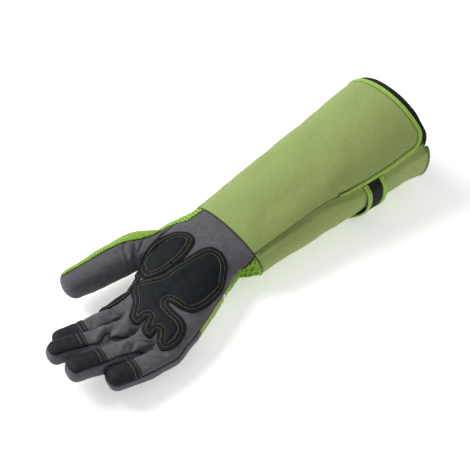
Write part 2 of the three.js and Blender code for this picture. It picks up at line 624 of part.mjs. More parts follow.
// How much of the flap's step under the front panel there is: none before the slit.
function flapStep(t, angle) {
  const open = smooth(t, SLIT_START - 0.12, SLIT_START - 0.02);
  const edge = seamAngle(t, "little");
  const turn = 1 - smooth(angle, edge + rad(3), edge + rad(13));
  return open * turn;
}
const FLAP_DEPTH = CUFF_WALL + BINDING_PROUD + LAYER_GAP;
const bindingShare = (BINDING_WIDTH + LAYER_GAP) / CUFF_LENGTH;
const backBindingShare = (BACK_BINDING_WIDTH + LAYER_GAP) / CUFF_LENGTH;

// Distance that the front panel's slit edge has drawn back at a share t, for a corner
// of the given radius that ends at a share end.
function cornerBack(t, radius, end) {
  const into = t * CUFF_LENGTH - (end * CUFF_LENGTH - radius);
  if (into <= 0) return 0;
  return radius - Math.sqrt(Math.max(radius * radius - into * into, 0));
}

function cuffFront() {
  const end = MOUTH - bindingShare;
  const radius = SLIT_CORNER - BINDING_WIDTH - LAYER_GAP;
  const straight = 0.7; // share of the rows before the corner
  return sheet((u, v, inner) => {
    const turn = (Math.PI / 2) * Math.max((v - straight) / (1 - straight), 0);
    const before = lerp(LAYER_GAP / CUFF_LENGTH, end - radius / CUFF_LENGTH, Math.min(v / straight, 1));
    const t = before + (radius * Math.sin(turn)) / CUFF_LENGTH;
    const bound = smooth(t, SLIT_START - 0.03, SLIT_START) * (BINDING_WIDTH + LAYER_GAP);
    const back = half + bound + cornerBack(t, radius, end);
    const from = seamAngle(t, "little") - back / cuffRadius(t);
    const to = seamAngle(t, "thumb") + half / cuffRadius(t);
    return cuffPoint(t, lerp(from, to, u), inner ? CUFF_WALL : 0);
  }, 18, CUFF_ROWS + 4);
}

// The back panel's corner beside the slit is a lobe: 1 there and 0 elsewhere.
function lobe(angle) {
  const edge = seamAngle(1, "little");
  return smooth(angle, edge - rad(6), edge + rad(12)) * (1 - smooth(angle, rad(205), rad(232)));
}

// How far the lobe stands off the round of the cuff.
const flareAt = (t, angle) => lobe(angle) * LOBE_FLARE * smooth(t, FLARE_START, 1);

// Share of the cuff's length that the back panel reaches past the mouth at an angle.
function backReach(angle) {
  const drawn = smooth(angle, rad(165), rad(208)) * (1 - smooth(angle, rad(300), rad(370)));
  return lerp(LOBE_REACH, -BACK_RECESS, drawn) / CUFF_LENGTH;
}

function cuffBack() {
  return sheet((u, v, inner) => {
    const start = LAYER_GAP / CUFF_LENGTH;
    const flap = smooth(v, SLIT_START, SLIT_START + 0.09) * (FLAP_OVERLAP + half);
    const reach = lerp(start, MOUTH - backBindingShare, v);
    const from = seamAngle(reach, "little") + (half - flap) / cuffRadius(reach);
    const to = seamAngle(reach, "thumb") - half / cuffRadius(reach) + 2 * Math.PI;
    const angle = lerp(from, to, u ** 1.3);
    const t = lerp(start, MOUTH - backBindingShare + backReach(angle), v);
    const flare = flareAt(t, angle);
    const step = FLAP_DEPTH * flapStep(t, angle) - flare * (1 - flapStep(t, angle));
    return cuffPoint(t, angle, step + (inner ? CUFF_WALL : 0));
  }, 32, CUFF_ROWS);
}

// An edge binding of a width along a path of [t, angle] on the cuff. flared tells whether
// it follows the lobe.
function binding(path, width, flared) {
  const top = -BINDING_PROUD;
  const bottom = CUFF_WALL + BINDING_PROUD;
  const rings = path.map(([t, angle], i) => {
    const [t0, a0] = path[Math.max(i - 1, 0)];
    const [t1, a1] = path[Math.min(i + 1, path.length - 1)];
    const along = new THREE.Vector2((t1 - t0) * CUFF_LENGTH, (a1 - a0) * cuffRadius(t)).normalize();
    const inT = (-along.y * width) / CUFF_LENGTH;
    const inAngle = (along.x * width) / cuffRadius(t);
    const corner = (w, depth) => {
      const [tc, ac] = [t - inT * w, angle - inAngle * w];
      const flare = flared ? flareAt(tc, ac) : 0;
      return cuffPoint(tc, ac, depth - flare);
    };
    return [
      corner(0, (top + bottom) / 2), corner(0.08, top), corner(1, top), corner(1, bottom),
      corner(0.08, bottom),
    ];
  });
  return loft(rings, centreOf(rings[0]), centreOf(rings[rings.length - 1]));
}

function frontBinding() {
  const path = [];
  const start = SLIT_START + 0.015;
  const cornerStart = MOUTH - SLIT_CORNER / CUFF_LENGTH;
  for (let i = 0; i <= 9; i++) {
    const t = lerp(start, cornerStart, i / 9);
    path.push([t, seamAngle(t, "little") - half / cuffRadius(t)]);
  }
  for (const turn of [15, 30, 45, 60, 75]) {
    const t = cornerStart + (SLIT_CORNER * Math.sin(rad(turn))) / CUFF_LENGTH;
    const back = SLIT_CORNER * (1 - Math.cos(rad(turn)));
    path.push([t, seamAngle(t, "little") - (half + back) / cuffRadius(t)]);
  }
  const from = seamAngle(1, "little") - (half + SLIT_CORNER) / cuffRadius(1);
  const to = seamAngle(1, "thumb") + half / cuffRadius(1);
  for (let i = 0; i <= 18; i++) path.push([MOUTH, lerp(from, to, i / 18)]);
  return binding(path, BINDING_WIDTH, false);
}

function backBinding() {
  const path = [];
  const from = seamAngle(1, "little") + rad(3);
  const to = seamAngle(1, "thumb") - half / cuffRadius(1) + 2 * Math.PI;
  for (let i = 0; i <= 30; i++) {
    const angle = lerp(from, to, (i / 30) ** 1.2);
    path.push([MOUTH + backReach(angle), angle]);
  }
  return binding(path.reverse(), BACK_BINDING_WIDTH, true);
}

function cuffLining() {
  const from = MOUTH + (LINING_REACH - LINING_WIDTH) / CUFF_LENGTH;
  const clear = CUFF_WALL + BINDING_PROUD + 2 * LAYER_GAP;
  return sheet((u, v, inner) => {
    const angle = u * 2 * Math.PI;
    const behind = smooth(angle, rad(152), rad(178)) * (1 - smooth(angle, rad(350), rad(358)));
    const shown = lerp(LINING_REACH / CUFF_LENGTH, backReach(angle) - LINING_HIDDEN / CUFF_LENGTH, behind);
    const t = lerp(from, MOUTH + shown, v);
    const turn = 1 - smooth(Math.abs(angle - seamAngle(1, "little") + rad(4)), rad(16), rad(30));
    const under = turn * (CUFF_WALL + LAYER_GAP + SEAM_GAP);
    return cuffPoint(t, angle, clear + under + (inner ? LINING_WALL : 0));
  }, 40, 2, true);
}

// A band of the strap: it leaves the slit's edge, bows over the back panel and ends
// on it. from and to are its edges across the strap's width.
function strapBand(from, to, proud) {
  return sheet((u, v, inner) => {
    const across = lerp(from, to, u);
    const t = STRAP_AT + (across - STRAP_LEAN * v * v) / CUFF_LENGTH;
    const start = seamAngle(t, "little") + (half + LAYER_GAP + BINDING_PROUD) / cuffRadius(t);
    const angle = lerp(start, rad(STRAP_END), v);
    const bow = STRAP_BULGE * Math.sin(Math.PI * v) ** 1.5;
    const base = 2 * LAYER_GAP + bow + flareAt(t, angle);
    const step = FLAP_DEPTH * flapStep(t, angle);
    return cuffPoint(t, angle, step - base - (inner ? 0 : STRAP_WALL + proud));
  }, 2, 12);
}

// The look of each kind of material.
const finish = {
  olive: new THREE.MeshStandardMaterial({ color: OLIVE, roughness: 0.85, metalness: 0 }),
  grey: new THREE.MeshStandardMaterial({ color: GREY, roughness: 0.8, metalness: 0 }),
  lime: new THREE.MeshStandardMaterial({ color: LIME, roughness: 0.75, metalness: 0 }),
  black: new THREE.MeshStandardMaterial({ color: BLACK, roughness: 0.6, metalness: 0 }),
  white: new THREE.MeshStandardMaterial({ color: WHITE, roughness: 0.5, metalness: 0 }),
};

const glove = new THREE.Group();

// The largest body of a solid as a named mesh. Slivers that a cut leaves are dropped.
function addPiece(name, solid, material) {
  const bodies = solid.decompose().sort((a, b) => b.volume() - a.volume());
  const mesh = bodies[0].getMesh();
  const geometry = new THREE.BufferGeometry();
  geometry.setAttribute("position", new THREE.BufferAttribute(new Float32Array(mesh.vertProperties), 3));
  geometry.setIndex(new THREE.BufferAttribute(new Uint32Array(mesh.triVerts), 1));
  geometry.computeVertexNormals();
  const piece = new THREE.Mesh(geometry, material);
  piece.name = name;
  glove.add(piece);
}

addPiece("palm_panel", palmPanel, finish.grey);
addPiece("back_panel", backPanel, finish.grey);
addPiece("knuckle_panel", knucklePanel, finish.olive);
addPiece("back_piping", backPiping, finish.white);
addPiece("wrist_mesh", wristMesh, finish.lime);
addPiece("thumb_mesh", thumbMesh, finish.lime);
addPiece("thumb_panel", thumbPanel, finish.grey);
addPiece("palm_patch", palmPatch, finish.black);
addPiece("thenar_patch", thenarPatch, finish.black);
addPiece("web_patch", webPatch, finish.black);
for (const name of Object.keys(FINGERS)) addPiece(name + "_cap", fingerCap(name), finish.black);
addPiece("cuff_front", cuffFront(), finish.olive);
addPiece("cuff_back", cuffBack(), finish.olive);
addPiece("front_binding", frontBinding(), finish.lime);
addPiece("back_binding", backBinding(), finish.lime);
addPiece("cuff_lining", cuffLining(), finish.black);
const strapHalf = STRAP_WIDTH / 2;
const stripHalf = strapHalf - STRAP_EDGE;
addPiece("strap_web", strapBand(-stripHalf, stripHalf, 0), finish.black);
addPiece("strap_edge_inner", strapBand(-strapHalf, -stripHalf - LAYER_GAP, STRAP_EDGE_PROUD), finish.lime);
addPiece("strap_edge_outer", strapBand(stripHalf + LAYER_GAP, strapHalf, STRAP_EDGE_PROUD), finish.lime);

// The origin is under the middle of the glove, on the surface that it lies on.
const bounds = new THREE.Box3().setFromObject(glove);
const middle = bounds.getCenter(new THREE.Vector3());
glove.position.set(-middle.x, -middle.y, -bounds.min.z);

export default glove;
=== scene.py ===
# %% [markdown]
# # Rose pruning gauntlet
# A right-hand gauntlet for pruning roses lies palm up: a sewn hand of grey synthetic
# leather, lime mesh and black patches, and a long cuff of sage cloth. This script dresses
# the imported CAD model, which stays as it is and carries the collision.

import math

import bmesh
import bpy
import numpy as np
from mathutils import Matrix, Vector
from mathutils.bvhtree import BVHTree
from mathutils.kdtree import KDTree


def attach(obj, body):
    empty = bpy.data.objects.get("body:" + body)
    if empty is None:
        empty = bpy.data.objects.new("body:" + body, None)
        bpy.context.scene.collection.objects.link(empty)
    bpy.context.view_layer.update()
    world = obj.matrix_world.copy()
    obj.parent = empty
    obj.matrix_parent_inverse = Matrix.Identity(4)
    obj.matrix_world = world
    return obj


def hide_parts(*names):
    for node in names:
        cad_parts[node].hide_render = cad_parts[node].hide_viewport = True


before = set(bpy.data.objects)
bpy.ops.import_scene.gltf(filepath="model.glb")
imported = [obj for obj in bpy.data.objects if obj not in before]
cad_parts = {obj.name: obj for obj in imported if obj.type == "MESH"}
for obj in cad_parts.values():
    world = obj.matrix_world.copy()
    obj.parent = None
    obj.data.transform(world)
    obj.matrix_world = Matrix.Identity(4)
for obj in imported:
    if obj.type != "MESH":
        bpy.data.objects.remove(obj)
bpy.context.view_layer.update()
print("frame", len(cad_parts), "nodes")

# %% [markdown]
# The sizes are those of the CAD, in metres. The glove is built round the middle of its
# wrist seam: X runs to the mouth of the cuff, Y to the thumb, Z up from the surface.
# SHIFT takes that to the frame's origin, which is under the middle of the glove.

# %% Sizes
MM = 0.001
SHIFT = np.array([2.8460, 7.0050, 0.0]) * MM
HAND_LENGTH = 231 * MM
PALM_WIDTH = 97 * MM
PALM_DEPTH = 42 * MM
FINGER_WIDTH = 24.4 * MM
FINGER_DEPTH = 23 * MM
THUMB_WIDTH = 33 * MM
HAND_WALL = 1.5 * MM
REST_SAG = 2.5 * MM
CUFF_LENGTH = 221 * MM
MOUTH_WIDTH = 126 * MM
MOUTH_DEPTH = 109 * MM
MOUTH_SLANT = 6 * MM
WRIST_SLANT = 4 * MM
CUFF_WALL = 1.8 * MM
SLIT_START = 0.47
SLIT_CORNER = 18 * MM
FLAP_OVERLAP = 12 * MM
LOBE_REACH = -1 * MM
BACK_RECESS = 5 * MM
LOBE_FLARE = 2.5 * MM
BINDING_WIDTH = 4.6 * MM
BACK_BINDING_WIDTH = 2.8 * MM
BINDING_PROUD = 0.7 * MM
FLAP_DEPTH = CUFF_WALL + BINDING_PROUD + 0.3 * MM
print("from fingertips to mouth", round((HAND_LENGTH + CUFF_LENGTH) / MM), "mm")


def table(names, rows):
    """A table of rows as one array for each named column."""
    return dict(zip(names.split(), np.array(rows, float).T))


# %% [markdown]
# A glove is drafted from measures of a hand, so the forms come from short tables too. A
# palm row gives its place along the hand, its two side edges and its two heights; a
# digit's row gives its axis and its half sizes. They could be sculpted instead, but a row
# can be read and changed. Lengths are shares of the driving sizes.

# %% Tables
PALM = table(
    "along little thumb under over seam edge square ruffle",
    [
        [-0.04, -0.56, 0.56, 0.07, 1.34, 0.8, 0.89, 2.05, 0],
        [0.0, -0.548, 0.548, 0.07, 1.325, 0.79, 0.89, 2.05, 0.02],
        [0.05, -0.475, 0.548, 0.1, 1.25, 0.69, 0.9, 2.1, 0.05],
        [0.1, -0.425, 0.57, 0.15, 1.16, 0.49, 0.92, 2.2, 0.055],
        [0.2, -0.52, 0.61, 0.02, 1.1, 0.58, 0.8, 2.4, 0.01],
        [0.3, -0.635, 0.48, 0.03, 1.07, 0.63, 0.66, 2.5, 0],
        [0.38, -0.72, 0.35, 0.07, 1.03, 0.65, 0.66, 2.6, 0],
        [0.45, -0.785, 0.21, 0.13, 1.0, 0.62, 0.65, 2.6, 0],
        [0.51, -0.825, 0.135, 0.2, 0.94, 0.58, 0.65, 2.5, 0],
        [0.57, -0.825, 0.11, 0.26, 0.83, 0.56, 0.65, 2.4, 0],
    ],
)
DIGIT = "along across lift wide deep"
FINGERS = {
    "index": table(DIGIT, [
        [0.45, 0.0, 0.48, 1.02, 1.02], [0.565, 0.015, 0.465, 0.98, 0.99],
        [0.66, 0.01, 0.46, 0.95, 0.9], [0.72, 0.015, 0.465, 0.98, 0.97],
        [0.79, 0.04, 0.465, 0.96, 0.91], [0.879, 0.085, 0.47, 0.9, 0.86],
    ]),
    "middle": table(DIGIT, [
        [0.45, -0.245, 0.5, 1.02, 1.02], [0.59, -0.25, 0.52, 1.0, 1.0],
        [0.69, -0.235, 0.6, 0.97, 0.9], [0.75, -0.222, 0.66, 1.0, 0.99],
        [0.83, -0.195, 0.74, 0.99, 0.92], [0.959, -0.12, 0.86, 0.92, 0.87],
    ]),
    "ring": table(DIGIT, [
        [0.45, -0.48, 0.5, 1.02, 1.02], [0.59, -0.492, 0.52, 1.02, 1.0],
        [0.685, -0.488, 0.57, 1.0, 0.9], [0.745, -0.478, 0.63, 1.04, 1.0],
        [0.82, -0.455, 0.71, 1.05, 0.95], [0.944, -0.395, 0.8, 0.98, 0.9],
    ]),
    "little": table(DIGIT, [
        [0.46, -0.66, 0.47, 0.86, 0.86], [0.57, -0.74, 0.47, 0.98, 0.98],
        [0.645, -0.748, 0.5, 0.96, 0.89], [0.7, -0.742, 0.53, 0.98, 0.95],
        [0.76, -0.722, 0.56, 0.98, 0.9], [0.834, -0.685, 0.59, 0.92, 0.86],
    ]),
}
THUMB = table(DIGIT, [
    [0.12, 0.18, 0.58, 1.1, 0.95], [0.24, 0.36, 0.66, 1.12, 0.98],
    [0.34, 0.5, 0.7, 1.18, 1.0], [0.44, 0.535, 0.7, 1.12, 0.98],
    [0.55, 0.55, 0.69, 1.04, 0.94], [0.66, 0.57, 0.69, 0.93, 0.86],
])
DIGIT_SQUARENESS = 2.6
TIP_ROUND = 0.85
FINGER_SEAM = {"little": 0.32, "ring": 0.74, "middle": 0.78, "index": 0.6}
SEAM_STEP = 1.2 * MM
SEAM_RISE = 4 * MM
CUFF_SEAMS = table("t little thumb", [
    [0, 145, 32], [0.2, 145, 28], [0.42, 147, 25], [0.53, 155, 22],
    [0.64, 160, 20], [0.78, 162, 18], [1, 160, 18],
])
CUFF_DENTS = [  # t, angle in degrees, length, spread in degrees, depth in mm
    [0.3, 112, 0.16, 12, 1.3],
    [0.55, 140, 0.1, 9, 1.6],
    [0.66, 78, 0.18, 14, 1.1],
    [0.36, 62, 0.14, 11, 1.2],
]

print("rows of the palm", len(PALM["along"]))

# %% [markdown]
# Leather parts are cut to a flat pattern. Each outline here is such a pattern, seen from
# above: shares of the hand's length along, and of the palm's width across.

# %% Outlines in plan
THUMB_PANEL = [
    [0.143, 0.8], [0.148, 0.45], [0.18, 0.435], [0.214, 0.415], [0.256, 0.385], [0.297, 0.36],
    [0.349, 0.327], [0.39, 0.3], [0.43, 0.27], [0.47, 0.26], [0.6, 0.29], [0.8, 0.33],
    [0.88, 0.6], [0.85, 0.95], [0.24, 0.95],
]
THUMB_MESH = [
    [0.12, 1.2], [0.13, 0.42], [0.192, 0.487], [0.225, 0.46], [0.26, 0.445], [0.293, 0.46],
    [0.326, 0.48], [0.358, 0.515], [0.389, 0.55], [0.424, 0.575], [0.47, 0.59], [0.511, 0.6],
    [0.56, 0.605], [0.665, 0.62], [0.695, 0.63], [0.695, 1.2],
]
PALM_PATCH = [
    [0.13, -0.106], [0.111, -0.222], [0.124, -0.336], [0.152, -0.41], [0.205, -0.505],
    [0.27, -0.576], [0.345, -0.625], [0.406, -0.614], [0.436, -0.534], [0.449, -0.427],
    [0.457, -0.36], [0.463, -0.473], [0.46, -0.6], [0.471, -0.696], [0.5, -0.755],
    [0.543, -0.785], [0.588, -0.785], [0.613, -0.745], [0.614, -0.68], [0.601, -0.61], [0.57, -0.53],
    [0.59, -0.545], [0.614, -0.538], [0.623, -0.479], [0.614, -0.41], [0.587, -0.369],
    [0.562, -0.34], [0.591, -0.344], [0.615, -0.328], [0.624, -0.28], [0.614, -0.2],
    [0.589, -0.148], [0.552, -0.075], [0.53, 0.02], [0.5, 0.09], [0.465, 0.09],
    [0.426, 0.02], [0.376, -0.033], [0.294, -0.038], [0.211, -0.044], [0.165, -0.058],
]
THENAR_PATCH = [
    [0.153, 0.102], [0.183, 0.038], [0.246, -0.02], [0.316, -0.045], [0.383, -0.04],
    [0.42, 0.0], [0.445, 0.065], [0.43, 0.2], [0.39, 0.32], [0.3, 0.37],
    [0.2, 0.345], [0.157, 0.246], [0.147, 0.172],
]
WEB_ON_INDEX = [
    [0.4, 0.26], [0.425, 0.15], [0.47, 0.085], [0.54, 0.045], [0.61, 0.04],
    [0.665, 0.085], [0.68, 0.17], [0.66, 0.28], [0.4, 0.28],
]
WEB_ON_THUMB = [
    [0.4, 0.24], [0.68, 0.24], [0.69, 0.4], [0.66, 0.5], [0.58, 0.54], [0.48, 0.54], [0.4, 0.46],
]
print("corners of the palm patch", len(PALM_PATCH))


# %% [markdown]
# Cloth starts flat, and so does every form here: a flat grid of faces whose corners are
# moved to where a function puts them. A curve with a bevel could make the strips, but one
# way for all keeps the faces even. A tube's first and last columns are welded, and so is
# an end drawn to one point. The grid keeps its flat lengths as a UV map, so that a weave
# lies on it undistorted.

# %% The grid
def smooth(x, low, high):
    s = np.clip((x - low) / (high - low), 0, 1)
    return s * s * (3 - 2 * s)


def lerp(a, b, s):
    return a + (b - a) * s


def quarter_round(distance, width):
    """From 0 at an edge to 1 at a width from it, as a quarter of a circle rises."""
    share = np.clip(distance / width, 0, 1)
    return np.sqrt(1 - (1 - share) ** 2)


def half_round(distance, middle, half_width):
    """The height of a cord of height 1 that lies with its middle at a distance."""
    return np.sqrt(np.clip(1 - ((distance - middle) / half_width) ** 2, 0, 1))


def end_taper(s, share):
    """The share of its width that a strip keeps near its two rounded ends."""
    return np.sqrt(np.clip(np.minimum(s, 1 - s) / share, 0, 1))


def coords(mesh):
    out = np.empty(len(mesh.vertices) * 3)
    mesh.vertices.foreach_get("co", out)
    return out.reshape(-1, 3)


def normals(mesh):
    out = np.empty(len(mesh.vertices) * 3)
    mesh.vertices.foreach_get("normal", out)
    return out.reshape(-1, 3)


def move_to(mesh, points):
    mesh.vertices.foreach_set("co", np.asarray(points, float).ravel())
    mesh.update()


def grid(columns, rows, place, flat=(1.0, 1.0)):
    """A mesh of columns by rows faces with its corners at place(u, v), welded where they meet."""
    bm = bmesh.new()
    layer = bm.loops.layers.uv.new("flat")
    bmesh.ops.create_grid(bm, x_segments=columns, y_segments=rows, size=0.5)
    for face in bm.faces:
        for loop in face.loops:
            co = loop.vert.co
            loop[layer].uv = ((co.x + 0.5) * flat[0], (co.y + 0.5) * flat[1])
    mesh = bpy.data.meshes.new("grid")
    bm.to_mesh(mesh)
    at = coords(mesh)
    move_to(mesh, place(at[:, 0] + 0.5, at[:, 1] + 0.5))
    bm.clear()
    bm.from_mesh(mesh)
    bmesh.ops.remove_doubles(bm, verts=bm.verts, dist=0.01 * MM)
    bmesh.ops.dissolve_degenerate(bm, edges=bm.edges, dist=0.005 * MM)
    bmesh.ops.recalc_face_normals(bm, faces=bm.faces)
    middle = sum((v.co for v in bm.verts), Vector()) / len(bm.verts)
    outward = sum(f.calc_area() * f.normal.dot(f.calc_center_median() - middle) for f in bm.faces)
    if outward < 0:  # an open sheet has no inside, so the way it faces is settled here
        bmesh.ops.reverse_faces(bm, faces=bm.faces)
    bm.to_mesh(mesh)
    bm.free()
    return mesh


def waves(points, length, seed, count=9):
    """A soft irregular height from -1 to 1, about length from crest to crest."""
    rng = np.random.default_rng(seed)
    height = np.zeros(len(points))
    for _ in range(count):
        ahead = rng.normal(size=3)
        ahead *= rng.uniform(0.7, 1.5) * 2 * math.pi / length / np.linalg.norm(ahead)
        height += np.cos(points @ ahead + rng.uniform(0, 2 * math.pi))
    return height / count**0.5 / 1.5


print("a wave's height at three places", waves(np.eye(3), 1, 1).round(2))

# %% [markdown]
# The hand is stuffed: a palm and five digits, each a loft through rounded squares. The
# real one is sewn flat and filled, so the sections are softer than a bare hand's. A skin
# modifier could grow it from a few edges, but its sections would be round.

# %% Curves through the rows
def spline(a, b, c, d, s):
    """Between b and c at share s, on the smooth curve that also heeds a and d."""
    return b + 0.5 * s * (c - a + s * (2 * a - 5 * b + 4 * c - d + s * (3 * (b - c) + d - a)))


def row_value(values, at):
    """A column's value at fractional rows, on a smooth curve through the rows."""
    i = np.clip(np.floor(at).astype(int), 0, len(values) - 2)
    a, b = values[np.clip(i - 1, 0, None)], values[i]
    c, d = values[i + 1], values[np.clip(i + 2, None, len(values) - 1)]
    return spline(a, b, c, d, at - i)


def row_where(values, value):
    """The fractional row at which a rising column has a value."""
    rows = np.linspace(0, len(values) - 1, 400)
    return np.interp(value, row_value(values, rows), rows)


def round_square(angle, squareness):
    c, s = np.cos(angle), np.sin(angle)
    power = 2 / squareness
    return np.sign(c) * np.abs(c) ** power, np.sign(s) * np.abs(s) ** power


widest = (PALM["thumb"] - PALM["little"]).max() * PALM_WIDTH
print("the palm is widest at", round(float(widest) / MM), "mm")

# %% [markdown]
# A loft's end is closed as a dome: the last rows turn inwards while they run on. The palm
# ends inside the fingers, and a finger's dome is blunt, as the leather of a fingertip is.

# %% Palm and digits
PALM_BODY, PALM_END = 0.86, 0.075  # shares: of the rows before the dome, and the dome's reach
DIGIT_BODY = 0.84
POLE = 0.01  # the share of the rows in which a closed end opens to its full width


def gathers(angle):
    """The lengthwise folds round the back of the wrist, where elastic draws the mesh in."""
    under = smooth(-np.sin(angle), -0.35, 0.15)
    return under * (np.cos(9 * angle) + 0.35 * np.cos(23 * angle + 1))


def palm_point(u, v):
    last = len(PALM["along"]) - 1
    row = np.minimum(v / PALM_BODY, 1) * last
    turn = np.clip((v - PALM_BODY) / (1 - PALM_BODY), 0, 1) * math.pi / 2
    shrink = np.cos(turn) * np.minimum(v / POLE, 1)
    at = {name: row_value(values, row) for name, values in PALM.items()}
    angle = u * 2 * math.pi
    c, s = round_square(angle, at["square"])
    under = at["under"] * PALM_DEPTH - REST_SAG
    over = at["over"] * PALM_DEPTH
    little, thumb = at["little"] * PALM_WIDTH, at["thumb"] * PALM_WIDTH
    out = at["ruffle"] * PALM_DEPTH * gathers(angle)
    x = -(at["along"] + PALM_END * np.sin(turn)) * HAND_LENGTH
    y = (little + thumb) / 2 + c * ((thumb - little) / 2 + out) * shrink
    z = (under + over) / 2 + s * ((over - under) / 2 + out) * shrink
    return np.stack([x, y, z], 1)


def digit_frame(path, width, depth, row):
    """Centres, forward, sideways and upward directions, and half sizes at fractional rows."""
    last = len(path["along"]) - 1
    scale = np.array([-HAND_LENGTH, PALM_WIDTH, PALM_DEPTH])

    def place(r):
        return np.stack([row_value(path[k], r) for k in ("along", "across", "lift")], 1) * scale

    ahead = place(np.minimum(row + 0.05, last)) - place(np.maximum(row - 0.05, 0))
    ahead /= np.linalg.norm(ahead, axis=1, keepdims=True)
    side = np.stack([ahead[:, 1], -ahead[:, 0], 0 * row], 1)
    side /= np.linalg.norm(side, axis=1, keepdims=True)
    wide = row_value(path["wide"], row) * width / 2
    deep = row_value(path["deep"], row) * depth / 2
    return place(row), ahead, side, np.cross(side, ahead), wide, deep


def digit_point(path, width, depth, u, v):
    row = np.minimum(v / DIGIT_BODY, 1) * (len(path["along"]) - 1)
    turn = np.clip((v - DIGIT_BODY) / (1 - DIGIT_BODY), 0, 1) * math.pi / 2
    shrink, reach = round_square(turn, DIGIT_SQUARENESS)
    shrink = shrink * np.minimum(v / POLE, 1)
    centre, ahead, side, up, wide, deep = digit_frame(path, width, depth, row)
    c, s = round_square(u * 2 * math.pi, DIGIT_SQUARENESS)
    out = centre + ahead * (TIP_ROUND * wide * reach)[:, None]
    out += side * (c * wide * shrink)[:, None]
    return out + up * (s * deep * shrink)[:, None]


digits = {name: (path, FINGER_WIDTH, FINGER_DEPTH) for name, path in FINGERS.items()}
digits["thumb"] = (THUMB, THUMB_WIDTH, THUMB_WIDTH)
solids = [grid(96, 110, palm_point)]
for path, width, depth in digits.values():
    solids.append(grid(48, 90, lambda u, v, d=(path, width, depth): digit_point(*d, u, v)))
print("forms", len(solids))


# %% [markdown]
# The six forms are fused to one skin with the voxel remesher, which rounds the crotches
# as a stuffed glove's are. A boolean union would keep sharp corners there. A cloth
# simulation could fill the glove, but its folds would fall where they like and not where
# the real ones stand, so this skin is smoothed and its folds are placed one by one.

# %% One skin
def applied(mesh, **kinds):
    """The mesh with modifiers applied: each keyword is a type, with its settings."""
    obj = bpy.data.objects.new("work", mesh)
    bpy.context.scene.collection.objects.link(obj)
    for kind, settings in kinds.items():
        modifier = obj.modifiers.new(kind, kind)
        for name, value in settings.items():
            setattr(modifier, name, value)
    graph = bpy.context.evaluated_depsgraph_get()
    out = bpy.data.meshes.new_from_object(obj.evaluated_get(graph))
    bpy.data.objects.remove(obj)
    return out


def joined(meshes):
    bm = bmesh.new()
    for mesh in meshes:
        bm.from_mesh(mesh)
    out = bpy.data.meshes.new("joined")
    bm.to_mesh(out)
    bm.free()
    return out


def relaxed(mesh, rounds):
    """Smooths a mesh and leaves its open edge, where it has one, in place."""
    bm = bmesh.new()
    bm.from_mesh(mesh)
    inner = [v for v in bm.verts if not v.is_boundary]
    axes = dict.fromkeys(("use_axis_x", "use_axis_y", "use_axis_z"), True)
    for _ in range(rounds):
        bmesh.ops.smooth_vert(bm, verts=inner, factor=0.5, **axes)
    bm.to_mesh(mesh)
    bm.free()


VOXEL = 1.2 * MM
skin = applied(joined(solids), REMESH={"mode": "VOXEL", "voxel_size": VOXEL})
relaxed(skin, 6)
print("skin", len(skin.vertices))


# %% [markdown]
# Soft leather never lies smooth. Packets of short creases stand where the glove bends or
# is drawn in: under the finger joints, at the finger bases and round the thumb's base. A
# packet is a train of waves that fades away from its middle.

# %% Creases
CREASES = [  # along, across, direction of travel in degrees, wavelength, reach, spread, depth in mm
    [0.405, 0.36, 8, 6.5, 13, 9, 1.0],
    [0.37, 0.41, -12, 8, 12, 14, 0.7],
    [0.63, 0.0, 5, 9, 9, 12, 0.7],
    [0.70, 0.02, -8, 7, 7, 10, 0.45],
    [0.78, 0.05, 6, 9, 9, 12, 0.5],
    [0.66, -0.245, 8, 8, 9, 12, 0.9],
    [0.72, -0.23, -14, 10, 9, 12, 0.6],
    [0.81, -0.19, 4, 9, 8, 12, 0.5],
    [0.665, -0.49, 12, 8, 9, 12, 0.9],
    [0.73, -0.48, -10, 10, 9, 12, 0.6],
    [0.80, -0.46, 6, 9, 8, 12, 0.5],
    [0.655, -0.75, 10, 7, 9, 12, 0.8],
    [0.71, -0.74, -8, 9, 8, 12, 0.5],
    [0.03, -0.1, 3, 16, 10, 26, 0.35],
]


def crease_height(points):
    height = np.zeros(len(points))
    wander = waves(points, 22 * MM, 5)
    for along, across, turn, wavelength, reach, spread, depth in CREASES:
        dx = (points[:, 0] + along * HAND_LENGTH) / MM
        dy = (points[:, 1] - across * PALM_WIDTH) / MM
        a = math.radians(turn)
        travel = dx * math.cos(a) + dy * math.sin(a) + 1.6 * wander
        aside = dy * math.cos(a) - dx * math.sin(a)
        packet = np.exp(-((travel / reach) ** 2) - (aside / spread) ** 2)
        height -= depth * MM * packet * (0.5 + 0.5 * np.cos(2 * math.pi * travel / wavelength)) ** 2
    return height


print("packets of creases", len(CREASES))

# %% [markdown]
# The larger folds are single ones, so each is drawn as a line of its own: a valley or a
# ridge whose section is a bell. Valleys between the fingers' roots are drawn so too.

